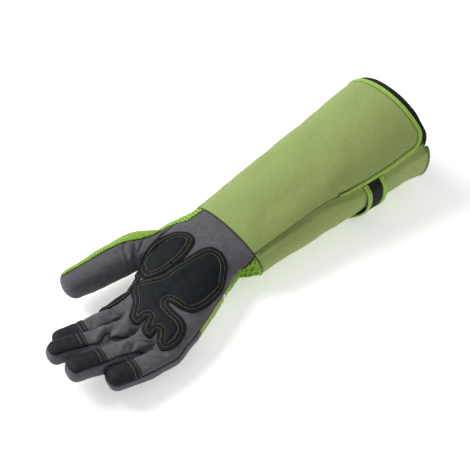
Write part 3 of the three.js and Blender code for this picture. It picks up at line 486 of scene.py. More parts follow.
# %% Folds
FOLD_DEPTH = 2.1 * MM
FOLDS = [  # half width in mm, shares of FOLD_DEPTH (under 0 a ridge), places along and across
    [2.6, -1.6, (0.61, -0.17), (0.641, -0.258), (0.652, -0.33)],
    [3.4, 2.0, (0.69, -0.19), (0.725, -0.25), (0.775, -0.31)],
    [2.4, -1.0, (0.745, -0.2), (0.79, -0.24), (0.82, -0.3)],
    [1.2, 0.8, (0.66, -0.215), (0.69, -0.25), (0.712, -0.285)],
    [2.0, 1.4, (0.724, -0.59), (0.700, -0.53), (0.672, -0.505)],
    [2.4, -1.0, (0.76, -0.53), (0.74, -0.48), (0.70, -0.45)],
    [1.1, 1.3, (0.64, -0.46), (0.619, -0.53), (0.596, -0.585)],
    [1.0, 1.1, (0.66, -0.51), (0.625, -0.575), (0.594, -0.605)],
    [1.5, -0.8, (0.65, -0.485), (0.623, -0.553), (0.6, -0.595)],
    [1.3, 1.9, (0.628, -0.64), (0.627, -0.72), (0.615, -0.81)],
    [2.4, -1.2, (0.647, -0.68), (0.645, -0.75), (0.632, -0.82)],
    [1.2, 1.1, (0.667, -0.68), (0.664, -0.74), (0.655, -0.8)],
    [1.6, 1.0, (0.72, -0.7), (0.725, -0.76), (0.712, -0.8)],
    [1.8, 1.2, (0.733, 0.06), (0.745, 0.0), (0.74, -0.05)],
    [2.2, -0.9, (0.70, 0.07), (0.69, 0.0), (0.68, -0.06)],
    [1.6, 1.2, (0.64, 0.05), (0.645, -0.02), (0.63, -0.08)],
    [1.5, 1.6, (0.60, -0.098), (0.65, -0.103), (0.70, -0.104), (0.76, -0.098)],
    [1.5, 1.8, (0.597, -0.37), (0.65, -0.362), (0.70, -0.352), (0.76, -0.338)],
    [1.5, 1.8, (0.60, -0.612), (0.65, -0.612), (0.70, -0.607), (0.76, -0.595)],
    [1.3, 1.5, (0.425, 0.335), (0.382, 0.408), (0.352, 0.50)],
    [1.6, 1.3, (0.44, 0.35), (0.416, 0.463), (0.40, 0.55)],
    [1.3, 1.3, (0.405, 0.33), (0.357, 0.401), (0.31, 0.464)],
    [1.4, 1.0, (0.455, 0.38), (0.45, 0.47), (0.442, 0.53)],
    [1.6, -0.9, (0.43, 0.345), (0.40, 0.435), (0.378, 0.52)],
]


def segment_distance(points, a, b):
    """Each point's distance in plan to a line from a to b, and its share of the way."""
    edge = b - a
    off = points[:, :2] - a
    share = np.clip((off @ edge) / (edge @ edge), 0, 1)
    return np.linalg.norm(off - share[:, None] * edge, axis=1), share


def fold_height(points):
    height = np.zeros(len(points))
    for width, depth, *places in FOLDS:
        line = np.array(places) * [-HAND_LENGTH, PALM_WIDTH]
        best, share = np.full(len(points), 1.0), np.zeros(len(points))
        for k, (a, b) in enumerate(zip(line, line[1:])):
            d, s = segment_distance(points, a, b)
            share = np.where(d < best, (k + s) / (len(line) - 1), share)
            best = np.minimum(best, d)
        along = 0.3 + 0.7 * np.sin(math.pi * share) ** 0.7
        height -= FOLD_DEPTH * depth * along * np.exp(-((best / (width * MM)) ** 2))
    return height


at = coords(skin)
facing = normals(skin)
wander = np.stack([waves(at, 16 * MM, 31), waves(at, 16 * MM, 32), 0 * at[:, 0]], 1) * 1.1 * MM
rise = (crease_height(at) + fold_height(at + wander)) * smooth(facing[:, 2], -0.5, 0.2)
rise += waves(at, 26 * MM, 1) * 0.45 * MM + waves(at, 11 * MM, 2) * 0.18 * MM
at = at + facing * rise[:, None]
at[:, 2] = np.maximum(at[:, 2], 0.15 * MM)
move_to(skin, at)
relaxed(skin, 1)
print("folds", len(FOLDS), "deepest", round(float(-rise.min()) / MM, 1), "mm")


# %% [markdown]
# Real panels are cut first and sewn after. Here the sewn shape is there first and is cut
# into its panels, so that two of them meet exactly. A field gives each point a number, and
# a panel is the part where it is positive. A knife project would need straight views.

# %% Cutting
def drop_crumbs(bm):
    """Keeps the largest of the parts that a mesh falls into."""
    parts, seen = [], set()
    for face in bm.faces:
        if face in seen:
            continue
        part, edge = [], [face]
        seen.add(face)
        while edge:
            here = edge.pop()
            part.append(here)
            for side in here.edges:
                for other in side.link_faces:
                    if other not in seen:
                        seen.add(other)
                        edge.append(other)
        parts.append(part)
    parts.sort(key=len)
    bmesh.ops.delete(bm, geom=[f for part in parts[:-1] for f in part], context="FACES")


def cut(mesh, field, finer=0):
    """A copy of the part of a mesh where field is positive, with smooth cut edges."""
    bm = bmesh.new()
    bm.from_mesh(mesh)
    value = field(coords(mesh))
    value[np.abs(value) < 0.02 * MM] = 0.02 * MM
    side = value > 0
    ends = np.empty(len(mesh.edges) * 2, dtype=np.int32)
    mesh.edges.foreach_get("vertices", ends)
    ends = ends.reshape(-1, 2)
    crossing = np.nonzero(side[ends[:, 0]] != side[ends[:, 1]])[0]
    layer = bm.verts.layers.float.new("field")
    bm.verts.ensure_lookup_table()
    bm.edges.ensure_lookup_table()
    for vert, v in zip(bm.verts, value):
        vert[layer] = v
    edges = [bm.edges[i] for i in crossing]
    fresh = []
    for edge in edges:
        a, b = edge.verts
        share = a[layer] / (a[layer] - b[layer])
        _, vert = bmesh.utils.edge_split(edge, a, share)
        vert[layer] = 0.0
        fresh.append(vert)
    bmesh.ops.connect_verts(bm, verts=fresh)
    away = [f for f in bm.faces if sum(v[layer] for v in f.verts) < 0]
    bmesh.ops.delete(bm, geom=away, context="FACES")
    drop_crumbs(bm)
    for _ in range(finer):
        bmesh.ops.subdivide_edges(bm, edges=bm.edges, cuts=1, use_grid_fill=True, smooth=0.0)
    out = bpy.data.meshes.new("panel")
    bm.to_mesh(out)
    bm.free()
    return out


print("skin to cut", len(skin.polygons), "faces")

# %% [markdown]
# Padding, tucked edges and stitches are all placed by how far a spot is from its panel's
# open edge. A k-d tree finds the nearest point of that edge.

# %% Measuring from the edge
def rim_distance(mesh):
    """Each vertex's distance to the mesh's open edge."""
    bm = bmesh.new()
    bm.from_mesh(mesh)
    rim = [v.co.copy() for v in bm.verts if v.is_boundary]
    middle = [(e.verts[0].co + e.verts[1].co) / 2 for e in bm.edges if e.is_boundary]
    bm.free()
    tree = KDTree(len(rim) + len(middle))
    for i, co in enumerate(rim + middle):
        tree.insert(co, i)
    tree.balance()
    return np.array([tree.find(v.co)[2] for v in mesh.vertices])


def raise_by(mesh, height):
    move_to(mesh, coords(mesh) + normals(mesh) * np.asarray(height)[:, None])


def paint_seam_shade(mesh, distance, width):
    """Stores how near each vertex is to a sewn edge, 1 at the edge, for the painted shade in its seams.
    """
    layer = mesh.attributes.new("seam", "FLOAT", "POINT")
    layer.data.foreach_set("value", np.clip(1 - distance / width, 0, 1))


# %% [markdown]
# Each piece becomes an object at the origin with its place in its mesh, takes the place of
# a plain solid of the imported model, and rides on the part's one body. Solidify gives it
# the cloth's thickness inwards.

# %% A finished piece
def piece(name, mesh, look, nodes=(), slot=None, wall=None):
    """A finished piece of the glove, at its place in the frame."""
    obj = bpy.data.objects.new("soft_" + name.replace(" ", "_"), mesh)
    bpy.context.scene.collection.objects.link(obj)
    move_to(mesh, coords(mesh) + SHIFT)
    mesh.shade_smooth()
    mesh.materials.clear()
    mesh.materials.append(look)
    if wall:
        solid = obj.modifiers.new("wall", "SOLIDIFY")
        solid.thickness = wall
        solid.offset = -1
    if nodes:
        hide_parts(*nodes)
    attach(obj, "root")
    print(name, len(mesh.polygons))
    return obj


# %% [markdown]
# Each cloth and leather has its own look, made from noise and weave alone. Photographed
# swatches could be used, but procedural ones have no seams and no scale of their own. What
# all of them share comes first: a base shader, noise, and a bump that can lie on another.

# %% Shader parts
def material(name, colour, roughness, sheen=0.0):
    out = bpy.data.materials.new(name)
    out.use_nodes = True
    shader = out.node_tree.nodes["Principled BSDF"]
    shader.inputs["Base Color"].default_value = (*colour, 1)
    shader.inputs["Roughness"].default_value = roughness
    shader.inputs["Sheen Weight"].default_value = sheen
    shader.inputs["Sheen Roughness"].default_value = 0.5
    shader.inputs["Specular IOR Level"].default_value = 0.22
    return out, out.node_tree, shader


def node(tree, kind, **settings):
    out = tree.nodes.new(kind)
    for name, value in settings.items():
        if name in out.inputs:
            out.inputs[name].default_value = value
        else:
            setattr(out, name, value)
    return out


def noise(tree, source, scale, detail=2.0):
    out = node(tree, "ShaderNodeTexNoise", Scale=scale, Detail=detail)
    tree.links.new(source, out.inputs["Vector"])
    return out.outputs["Fac"]


def bumped(tree, shader, height, distance, strength, under=None):
    bump = node(tree, "ShaderNodeBump", Strength=strength, Distance=distance)
    tree.links.new(height, bump.inputs["Height"])
    if under:
        tree.links.new(under, bump.inputs["Normal"])
    tree.links.new(bump.outputs["Normal"], shader.inputs["Normal"])
    return bump.outputs["Normal"]


# %% [markdown]
# Little light reaches the bottom of a seam. The seam attribute, stored on each panel,
# darkens the cloth there as painted shade, so the seam shows at any size of the picture.

# %% Colour with painted shade in the seams
# The share of the cloth's colour left at the bottom of a seam by the painted shade.
SEAM_SHADE = 0.2


def tinted(colour, by):
    return tuple(c * by for c in colour)


def shaded(tree, shader, factor, stops):
    """The base colour from a factor through a ramp of (place, colour) stops, with painted seam shade."""
    ramp = tree.nodes.new("ShaderNodeValToRGB")
    while len(ramp.color_ramp.elements) < len(stops):
        ramp.color_ramp.elements.new(0.5)
    for element, (place, colour) in zip(ramp.color_ramp.elements, stops):
        element.position = place
        element.color = (*colour, 1)
    tree.links.new(factor, ramp.inputs["Fac"])
    # Painted shade: the seam attribute mixes a darker colour in near sewn edges.
    seam = node(tree, "ShaderNodeAttribute", attribute_name="seam")
    mix = node(tree, "ShaderNodeMix", data_type="RGBA")
    tree.links.new(seam.outputs["Fac"], mix.inputs["Factor"])
    tree.links.new(ramp.outputs["Color"], mix.inputs["A"])
    mix.inputs["B"].default_value = (*tinted(stops[0][1], SEAM_SHADE), 1)
    tree.links.new(mix.outputs["Result"], shader.inputs["Base Color"])


# %% [markdown]
# Leather is nearly one colour, with a grain in three sizes: soft worn hollows, wrinkles and
# fine pores. Each is a bump on noise in object coordinates, and lies on the one before.

# %% Leather
def leather(name, colour, roughness, sheen, grain=1500, mottle=0.13, gloss=0.22):
    out, tree, shader = material(name, colour, roughness, sheen)
    shader.inputs["Specular IOR Level"].default_value = gloss
    place = tree.nodes.new("ShaderNodeTexCoord").outputs["Object"]
    shaded(tree, shader, noise(tree, place, 180, 6.0),
           [(0.34, tinted(colour, 1 - mottle)), (0.66, tinted(colour, 1 + mottle))])
    worn = bumped(tree, shader, noise(tree, place, 110, 2.0), 0.0018, 0.22)
    soft = bumped(tree, shader, noise(tree, place, 320, 3.0), 0.0004, 0.3, worn)
    bumped(tree, shader, noise(tree, place, grain, 1.0), 0.0002, 0.3, soft)
    return out


# %% [markdown]
# Woven cloth is two sets of threads. Two wave textures across each other on the flat map
# make them, so the threads follow the cloth round the cuff.

# %% Woven cloth
def woven(name, colour, roughness, threads=1400, mottle=0.1, sheen=0.25, depth=0.35):
    """Cloth with a fine plain weave, lengthwise and across on the piece's flat map."""
    out, tree, shader = material(name, colour, roughness, sheen)
    flat = node(tree, "ShaderNodeUVMap", uv_map="flat").outputs["UV"]
    place = tree.nodes.new("ShaderNodeTexCoord").outputs["Object"]
    both = node(tree, "ShaderNodeMath", operation="MULTIPLY")
    for way, socket in zip("XY", both.inputs):
        wave = node(tree, "ShaderNodeTexWave", Scale=threads / 3.1, bands_direction=way, Distortion=0.6)
        tree.links.new(flat, wave.inputs["Vector"])
        tree.links.new(wave.outputs["Fac"], socket)
    shaded(tree, shader, noise(tree, place, 850, 3.0),
           [(0.37, tinted(colour, 1 - mottle)), (0.63, tinted(colour, 1 + mottle))])
    soft = bumped(tree, shader, noise(tree, place, 500, 3.0), 0.0005, 0.4)
    bumped(tree, shader, both.outputs[0], 0.0002, depth, soft)
    return out


# %% [markdown]
# Knitted air mesh is full of small holes, too many to cut. Cells of a Voronoi texture in
# staggered rows stand for them: dark in their middle, where the green of the backing is
# darkened by painted shade, and bright where the threads run.

# %% Air mesh
def air_mesh(name, thread, shaded_hole, pitch):
    out, tree, shader = material(name, thread, 0.7, 0.2)
    flat = node(tree, "ShaderNodeUVMap", uv_map="flat").outputs["UV"]
    turned = tree.nodes.new("ShaderNodeMapping")
    turned.inputs["Rotation"].default_value = (0, 0, math.radians(45))
    turned.inputs["Scale"].default_value = (1 / pitch, 0.86 / pitch, 1)
    tree.links.new(flat, turned.inputs["Vector"])
    cells = node(tree, "ShaderNodeTexVoronoi", Scale=1.0, Randomness=0.12)
    tree.links.new(turned.outputs["Vector"], cells.inputs["Vector"])
    distance = cells.outputs["Distance"]
    # The ramp goes dark towards each cell's middle with a darker ring round it: painted shade in the
    # holes.
    shaded(tree, shader, distance, [(0.17, shaded_hole), (0.33, tinted(thread, 0.75)), (0.55, thread)])
    bumped(tree, shader, distance, 0.0009, 0.8)
    return out


# %% [markdown]
# The colours are dark on purpose: studio light brightens them to those of the real cloth,
# leather and thread. Black leather is dull here, as it is on a worn work glove.

# %% The glove's finishes
grey = leather("grey leather", (0.098, 0.091, 0.103), 0.9, 0.1)
sage = woven("sage cloth", (0.272, 0.350, 0.112), 0.9, sheen=0.1)
lime = air_mesh("lime mesh", (0.275, 0.485, 0.04), (0.04, 0.11, 0.012), 2.5 * MM)
binding_cloth = woven("lime binding", (0.31, 0.50, 0.08), 0.7, 900, sheen=0.1)
# The back binding is the lime binding's cloth darkened: painted shade, as it lies in the shade of the
# mouth.
shaded_binding = woven("lime binding in painted shade", (0.12, 0.21, 0.04), 0.8, 900, sheen=0.05)
black = leather("black leather", (0.007, 0.009, 0.012), 0.65, 0.0, 1100, 0.25, 0.14)
cap_black = leather("cap leather", (0.014, 0.016, 0.021), 0.65, 0.0, 1100, 0.25, 0.14)
lining_cloth = woven("black lining", (0.008, 0.009, 0.010), 0.8, 700, sheen=0.05)
webbing = woven("black webbing", (0.007, 0.008, 0.009), 0.7, 500, sheen=0.0, depth=0.7)
thread = material("thread", (0.26, 0.285, 0.13), 0.7)[0]
green_thread = material("green thread", (0.09, 0.17, 0.02), 0.7)[0]
piping_cloth = material("piping", (0.80, 0.82, 0.78), 0.5, 0.1)[0]
print("finishes", len(bpy.data.materials))


# %% [markdown]
# The grey palm is sewn to the back along a seam that runs round the hand and up and down
# each finger. That seam is a height that follows each finger. It is kept as a table over
# the fingers' axes, so that the valleys between two fingers can lie deeper.

# %% The side seam
SEAM_STATIONS = np.r_[-0.2, 0:0.5:0.1, 0.5, 0.54, 0.57, 0.64, 0.7, 0.76, 0.8:1.04:0.02, 1.2]
KNUCKLES = 0.5
CROTCH = 0.6
CROTCH_SEAM = -0.4
PAST_TIP = 0.05
THUMB_SIDE = 0.36 * PALM_WIDTH


def seam_lines():
    """Places and heights of the side seam over each finger's axis, station by station."""
    row = row_where(PALM["along"], np.minimum(SEAM_STATIONS, KNUCKLES))
    at = {name: row_value(values, row) for name, values in PALM.items()}
    under = at["under"] * PALM_DEPTH - REST_SAG
    depth = at["over"] * PALM_DEPTH - under
    follow = smooth(SEAM_STATIONS, KNUCKLES, KNUCKLES + 0.07)
    spread = smooth(SEAM_STATIONS, CROTCH, CROTCH + 0.15)
    across, height, between = [], [], []
    for name, share in FINGER_SEAM.items():
        path = FINGERS[name]
        centre, _, _, _, _, deep = digit_frame(
            path, FINGER_WIDTH, FINGER_DEPTH, row_where(path["along"], SEAM_STATIONS))
        across.append(centre[:, 1])
        palm_seam = under + at["seam"] * depth
        height.append(lerp(palm_seam, centre[:, 2] + share * deep, follow))
        low = lerp(CROTCH_SEAM, share, spread)
        between.append(lerp(palm_seam, centre[:, 2] + low * deep, follow))
    names = list(FINGER_SEAM)
    for short, longer in (("index", "middle"), ("ring", "middle"), ("little", "ring")):
        past = SEAM_STATIONS > FINGERS[short]["along"][-1] + PAST_TIP
        a, b = names.index(short), names.index(longer)
        between[a] = np.where(past, between[b], between[a])
    edge = lerp(under + at["edge"] * depth, height[-1], follow)
    thumb_edge = np.full(len(SEAM_STATIONS), THUMB_SIDE)
    places, heights = [across[0], across[0] + MM], [height[0], between[0]]
    for k in range(len(across) - 1):
        rise = np.clip((height[k + 1] - height[k]) / SEAM_RISE, -1, 1)
        middle = (across[k] + across[k + 1]) / 2 - rise * SEAM_STEP
        places += [middle - SEAM_STEP, middle + SEAM_STEP]
        heights += [between[k], between[k + 1]]
    places += [across[-1] - MM, across[-1], thumb_edge]
    heights += [between[-1], height[-1], edge]
    return places, heights


SEAM_ACROSS, SEAM_HEIGHT = seam_lines()


def over_seam(p):
    """How far a point is over the side seam."""
    along = -p[:, 0] / HAND_LENGTH
    across = [np.interp(along, SEAM_STATIONS, a) for a in SEAM_ACROSS]
    height = [np.interp(along, SEAM_STATIONS, h) for h in SEAM_HEIGHT]
    z = height[0]
    for k in range(len(across) - 1):
        share = np.clip((p[:, 1] - across[k]) / (across[k + 1] - across[k]), 0, 1)
        z = np.where(p[:, 1] > across[k], lerp(height[k], height[k + 1], share), z)
    return p[:, 2] - z


print("seam stations", len(SEAM_STATIONS), "lines", len(SEAM_ACROSS))

# %% [markdown]
# The thumb's own panel and the patches are outlines seen from above. Fields are joined as
# sets are: both, either, and no.

# %% Outlines as fields
def inside(outline):
    """A field: the distance in plan within an outline."""
    corners = np.array(outline) * [-HAND_LENGTH, PALM_WIDTH]

    def field(p):
        best = np.full(len(p), 1.0)
        odd = np.zeros(len(p), dtype=bool)
        x, y = p[:, 0], p[:, 1]
        for a, b in zip(corners, np.roll(corners, -1, 0)):
            best = np.minimum(best, segment_distance(p, a, b)[0])
            spans = (a[1] > y) != (b[1] > y)
            slope = (b[0] - a[0]) / (b[1] - a[1]) if b[1] != a[1] else 0.0
            odd ^= spans & (x < a[0] + slope * (y - a[1]))
        return np.where(odd, best, -best)

    return field


def curved(outline):
    """A smooth closed outline through the points of a patch."""
    p = np.array(outline)
    out = []
    for i in range(len(p)):
        near = [p[(i + k) % len(p)] for k in (-1, 0, 1, 2)]
        out += [spline(*near, s) for s in np.arange(0, 1, 0.25)]
    return out


def beyond(x):
    return lambda p: -p[:, 0] - x * HAND_LENGTH


def both(*fields):
    return lambda p: np.minimum.reduce([f(p) for f in fields])


def either(*fields):
    return lambda p: np.maximum.reduce([f(p) for f in fields])


def no(field):
    return lambda p: -field(p)


# %% [markdown]
# The mesh runs down the thumb's side and on as a strip to the wrist. The cuff's seam leans
# a little, so the hand ends in a slanting plane there.

# %% Where the panels lie
STRIP_EDGE, STRIP_LENGTH = 0.31 * PALM_WIDTH, 0.25
WRIST_TOP = row_value(PALM["over"], 1) * PALM_DEPTH
WRIST_LOW = float(np.maximum(row_value(PALM["under"], 1) * PALM_DEPTH - REST_SAG, 0))
WRIST_HALF = float(row_value(PALM["thumb"], 1)) * PALM_WIDTH


def before_wrist(p):
    """How far a point is on the hand's side of the leaning wrist seam."""
    middle = (WRIST_TOP + WRIST_LOW) / 2
    lean = (p[:, 2] - middle) * WRIST_SLANT / ((WRIST_TOP - WRIST_LOW) / 2)
    return -p[:, 0] - lean


thumb_area = inside(THUMB_PANEL)
side_strip = both(no(beyond(STRIP_LENGTH)), lambda p: p[:, 1] - STRIP_EDGE, no(over_seam))
mesh_area = either(both(inside(THUMB_MESH), thumb_area), side_strip)
back_area = both(no(over_seam), no(thumb_area), no(mesh_area))
print("wrist", round(float(WRIST_TOP - WRIST_LOW) / MM), "mm deep at its seam")


# %% [markdown]
# The seams are sewn inside out and turned, so each panel rolls down into them. A bevel
# would round both panels alike, so each one's edge is sunk by a quarter of a circle.

# %% Tucked edges
def roll(distance, depth=1.6 * MM, width=2.0 * MM):
    """How far a panel's edge sinks into its seam at a distance from it."""
    return depth * (1 - quarter_round(distance, width))


def tucked(mesh, depth=1.4 * MM, width=1.8 * MM, shade_width=1.9 * MM):
    """Rolls a panel's edge down into its seam, and marks painted shade along it."""
    rim = rim_distance(mesh)
    raise_by(mesh, -roll(rim, depth, width))
    paint_seam_shade(mesh, rim, shade_width)
    return mesh


# %% [markdown]
# A pattern of holes or threads needs a flat map. A plan view does for the palm, but it
# stretches the holes down the sides, so the wrist and the thumb are unrolled round an axis.

# %% Flat maps
WRIST_MIDDLE, WRIST_RADIUS = 28 * MM, 42 * MM


def flat_map(mesh, field):
    """A flat UV map in metres from a function of the vertices."""
    layer = mesh.uv_layers.get("flat") or mesh.uv_layers.new(name="flat")
    uv = field(coords(mesh))
    corner = np.empty(len(mesh.loops), dtype=np.int32)
    mesh.loops.foreach_get("vertex_index", corner)
    layer.data.foreach_set("uv", uv[corner].ravel())
    return mesh


def round_wrist(p):
    angle = np.arctan2(p[:, 2] - WRIST_MIDDLE, p[:, 1])
    return np.stack([p[:, 0], angle % (2 * math.pi) * WRIST_RADIUS], 1)


def round_thumb(p):
    """How far points lie along the thumb's axis, and how far round it."""
    centre, ahead, side, up, _, _ = digit_frame(THUMB, 1, 1, np.linspace(0, 5, 60))
    length = np.r_[0, np.cumsum(np.linalg.norm(np.diff(centre, axis=0), axis=1))]
    near = np.linalg.norm(p[:, None] - centre, axis=2).argmin(1)
    off = p - centre[near]
    round_ = np.arctan2((off * up[near]).sum(1), (off * side[near]).sum(1))
    return np.stack([length[near] + (off * ahead[near]).sum(1), round_ * THUMB_WIDTH / 2], 1)


MAPS = {"wrist mesh": round_wrist, "thumb mesh": round_thumb}
print("unrolled", ", ".join(MAPS))

# %% [markdown]
# Elastic draws the mesh in behind the wrist, and it falls into narrow folds. A wave round
# the wrist makes them, and a soft irregular height lets them wander.

# %% Gathers and panels
GATHER_DEPTH, GATHER_PITCH = 2.6 * MM, 6.5 * MM
PIPING_AT, BACK_GREY = 0.212, 0.42


def gathered(mesh):
    """Narrow folds that run lengthwise, deepest where the elastic draws the mesh in."""
    p = round_wrist(coords(mesh))
    drawn = smooth(-p[:, 0], 0, 8 * MM) * (1 - smooth(-p[:, 0], 18 * MM, 44 * MM))
    place = p[:, 1] + waves(np.c_[p, 0 * p[:, :1]], 22 * MM, 41) * 1.5 * MM
    fold = 0.5 + 0.5 * np.cos(place * 2 * math.pi / GATHER_PITCH)
    return -GATHER_DEPTH * drawn * fold * smooth(rim_distance(mesh), 0, 3 * MM)


hand = cut(skin, before_wrist)
panels = [
    ("palm panel", both(over_seam, no(thumb_area)), grey, "palm_panel", "synthetic_leather"),
    ("back panel", both(back_area, beyond(BACK_GREY)), grey, "back_panel", "synthetic_leather"),
    ("knuckle panel", both(back_area, beyond(PIPING_AT), no(beyond(BACK_GREY))), sage,
     "knuckle_panel", "sage_cloth"),
    ("wrist mesh", both(back_area, no(beyond(PIPING_AT))), lime, "wrist_mesh", "lime_mesh"),
    ("thumb mesh", mesh_area, lime, "thumb_mesh", "lime_mesh"),
    ("thumb panel", both(thumb_area, no(mesh_area)), grey, "thumb_panel", "synthetic_leather"),
]
for name, field, look, cad, slot in panels:
    panel = tucked(cut(hand, field))
    if name == "wrist mesh":
        raise_by(panel, gathered(panel))
    flat_map(panel, MAPS.get(name, lambda p: p[:, :2]))
    piece(name, panel, look, [cad], slot, HAND_WALL)

# %% [markdown]
# A row of stitches runs at an even distance from an edge. So its line is traced on the
# finished surface, where a distance on the piece has one value. A drawn curve would have
# to be wrapped on the padding afterwards.

# %% Lines on a surface
def trace(mesh, value, level):
    """The lines on a mesh where value is level, as lists of points."""
    mesh.calc_loop_triangles()
    corners = np.empty(len(mesh.loop_triangles) * 3, dtype=np.int32)
    mesh.loop_triangles.foreach_get("vertices", corners)
    corners = corners.reshape(-1, 3)
    over = value > level
    mixed = over[corners].any(1) & ~over[corners].all(1)
    at = coords(mesh)
    points, links = {}, {}
    for tri in corners[mixed]:
        found = []
        for a, b in ((0, 1), (1, 2), (2, 0)):
            a, b = sorted((int(tri[a]), int(tri[b])))
            if over[a] != over[b]:
                share = (level - value[a]) / (value[b] - value[a])
                points[a, b] = at[a] + (at[b] - at[a]) * share
                found.append((a, b))
        links.setdefault(found[0], []).append(found[1])
        links.setdefault(found[1], []).append(found[0])
    lines, seen = [], set()
    for start in sorted(links, key=lambda k: len(links[k])):
        if start in seen:
            continue
        line, here = [], start
        while here is not None:
            seen.add(here)
            line.append(points[here])
            here = next((k for k in links[here] if k not in seen), None)
        if len(line) > 6:
            if np.linalg.norm(line[0] - line[-1]) < 2 * MM:
                line.append(line[0])
            lines.append(np.array(line))
    return lines


def even(line, step):
    """Points at even steps along a line."""
    length = np.r_[0, np.cumsum(np.linalg.norm(np.diff(line, axis=0), axis=1))]
    places = np.arange(0, length[-1], step)
    return np.stack([np.interp(places, length, line[:, k]) for k in range(3)], 1)


def softened(line, rounds=4):
    for _ in range(rounds):
        line = line.copy()
        line[1:-1] = (line[:-2] + 2 * line[1:-1] + line[2:]) / 4
    return line


# %% [markdown]
# Each stitch shows as a short thread that dips into the leather at both ends. One bead with
# a few dozen faces is copied, stretched and turned along the line. Instances would be
# lighter, but a real mesh is wanted in the end.

# %% Stitches
STITCH, STITCH_GAP = 2.3 * MM, 0.35 * MM
THREAD_THICK, THREAD_FLAT = 0.38 * MM, 0.8


def stitch_row(mesh, lines, length=STITCH, gap=STITCH_GAP, thick=THREAD_THICK, lift=0.1 * MM):
    """Short threads along lines that lie on a mesh."""
    bead = bmesh.new()
    bmesh.ops.create_uvsphere(bead, u_segments=8, v_segments=6, radius=0.5)
    shape = bpy.data.meshes.new("bead")
    bead.to_mesh(shape)
    bead.free()
    tree = BVHTree.FromPolygons(
        [v.co.copy() for v in mesh.vertices], [tuple(p.vertices) for p in mesh.polygons])
    base = coords(shape)
    power = np.abs(base[:, 0] * 2) ** 0.5 * np.sign(base[:, 0]) / 2
    copies = bmesh.new()
    spots = []
    for line in lines:
        fine = even(softened(line), (length + gap) / 2)
        for i in range(0, len(fine) - 2, 2):
            spots.append((fine[i], fine[i + 1] - fine[i]))
    for where, ahead in spots:
        ahead = ahead / np.linalg.norm(ahead)
        up = np.array(tree.find_nearest(Vector(where))[1])
        side = np.cross(up, ahead)
        middle = where + ahead * length / 2 + up * lift
        start = len(copies.verts)
        copies.from_mesh(shape)
        copies.verts.ensure_lookup_table()
        placed = middle + np.outer(power, ahead) * length + np.outer(base[:, 1], side) * thick
        placed += np.outer(base[:, 2], up) * thick * THREAD_FLAT
        for vert, co in zip(copies.verts[start:], placed):
            vert.co = co
    out = bpy.data.meshes.new("stitches")
    copies.to_mesh(out)
    copies.free()
    return out


print("stitches of", round(STITCH / MM, 1), "mm")

# %% [markdown]
# The patches are padded: a flat border, a cord raised between two rows of stitches, and a
# soft middle. The distance to the patch's edge gives all of it. Inset and bevel steps could
# give one ridge, but not a padding that swells over a lobed outline.

# %% Padding
ROW_ONE, ROW_TWO = 4.0 * MM, 7.8 * MM
BORDER_EDGE, BORDER_RISE = 0.35 * MM, 1.15 * MM
CORD_RISE, ROW_SINK, ROW_SPREAD = 0.8 * MM, 0.35 * MM, 0.45 * MM
MIDDLE_RISE, MIDDLE_REACH = 0.5 * MM, 5 * MM


def bell(x, centre, width):
    return np.exp(-(((x - centre) / width) ** 2))


def padded_height(rim, d, rows):
    one, two = rows
    height = BORDER_EDGE + BORDER_RISE * quarter_round(rim, 1.1 * MM)
    height += CORD_RISE * half_round(d, (one + two) / 2, (two - one) / 2)
    height -= ROW_SINK * (bell(d, one, ROW_SPREAD) + bell(d, two, ROW_SPREAD))
    return height + MIDDLE_RISE * smooth(d, two, two + MIDDLE_REACH)


def patch(name, field, cad, rows=(ROW_ONE, ROW_TWO), outline=None):
    mesh = cut(hand, field, finer=1)
    relaxed(mesh, 3)
    rim = rim_distance(mesh)
    d = outline(coords(mesh)) if outline else rim
    raise_by(mesh, padded_height(rim, d, rows))
    threads = stitch_row(mesh, [line for row in rows for line in trace(mesh, d, row)])
    piece(name, mesh, black, [cad], "black_patch", 1.3 * MM)
    piece(name + " stitches", threads, thread)


print("rows of the palm patch", ROW_ONE, ROW_TWO)


# %% [markdown]
# Three patches touch each other without lapping. Each one keeps clear of its neighbours by
# a small distance, which a field that is shifted inwards gives.

# %% The three patches
def height_between(low, high):
    return lambda p: np.minimum(p[:, 2] - low * PALM_DEPTH, high * PALM_DEPTH - p[:, 2])


def clear_of(field):
    return lambda p: -field(p) - CLEARANCE


CLEARANCE = 0.4 * MM
WEB_LOW, WEB_HIGH = 0.22, 0.4
WEB_ROWS = (1.8 * MM, 5.0 * MM)
palm_area = inside(curved(PALM_PATCH))
thenar_area = inside(curved(THENAR_PATCH))
upper_thenar = both(thenar_area, lambda p: p[:, 2] - 0.55 * PALM_DEPTH)
web_area = either(both(inside(WEB_ON_INDEX), height_between(WEB_LOW, 9)),
                  both(inside(WEB_ON_THUMB), height_between(WEB_LOW, WEB_HIGH)))
patch("palm patch", both(palm_area, over_seam), "palm_patch")
patch("thenar patch", both(thenar_area, over_seam, clear_of(palm_area), clear_of(thumb_area)),
      "thenar_patch", outline=thenar_area)
patch("web patch", both(web_area, clear_of(palm_area), clear_of(upper_thenar)),
      "web_patch", WEB_ROWS)


# %% [markdown]
# Each fingertip has a cap on its palm side, sewn down with two rows across the finger. A
# cap is the part of the skin past a plane across the finger, over the side seam, and
# nearer to its own finger's axis than to the others'.

# %% Fingertip caps
CAP_LENGTH = {"index": 35, "middle": 38, "ring": 38, "little": 31}
CAP_ROWS = (2.0 * MM, 6.4 * MM)
CAP_BAND = (4.2 * MM, 2.0 * MM)


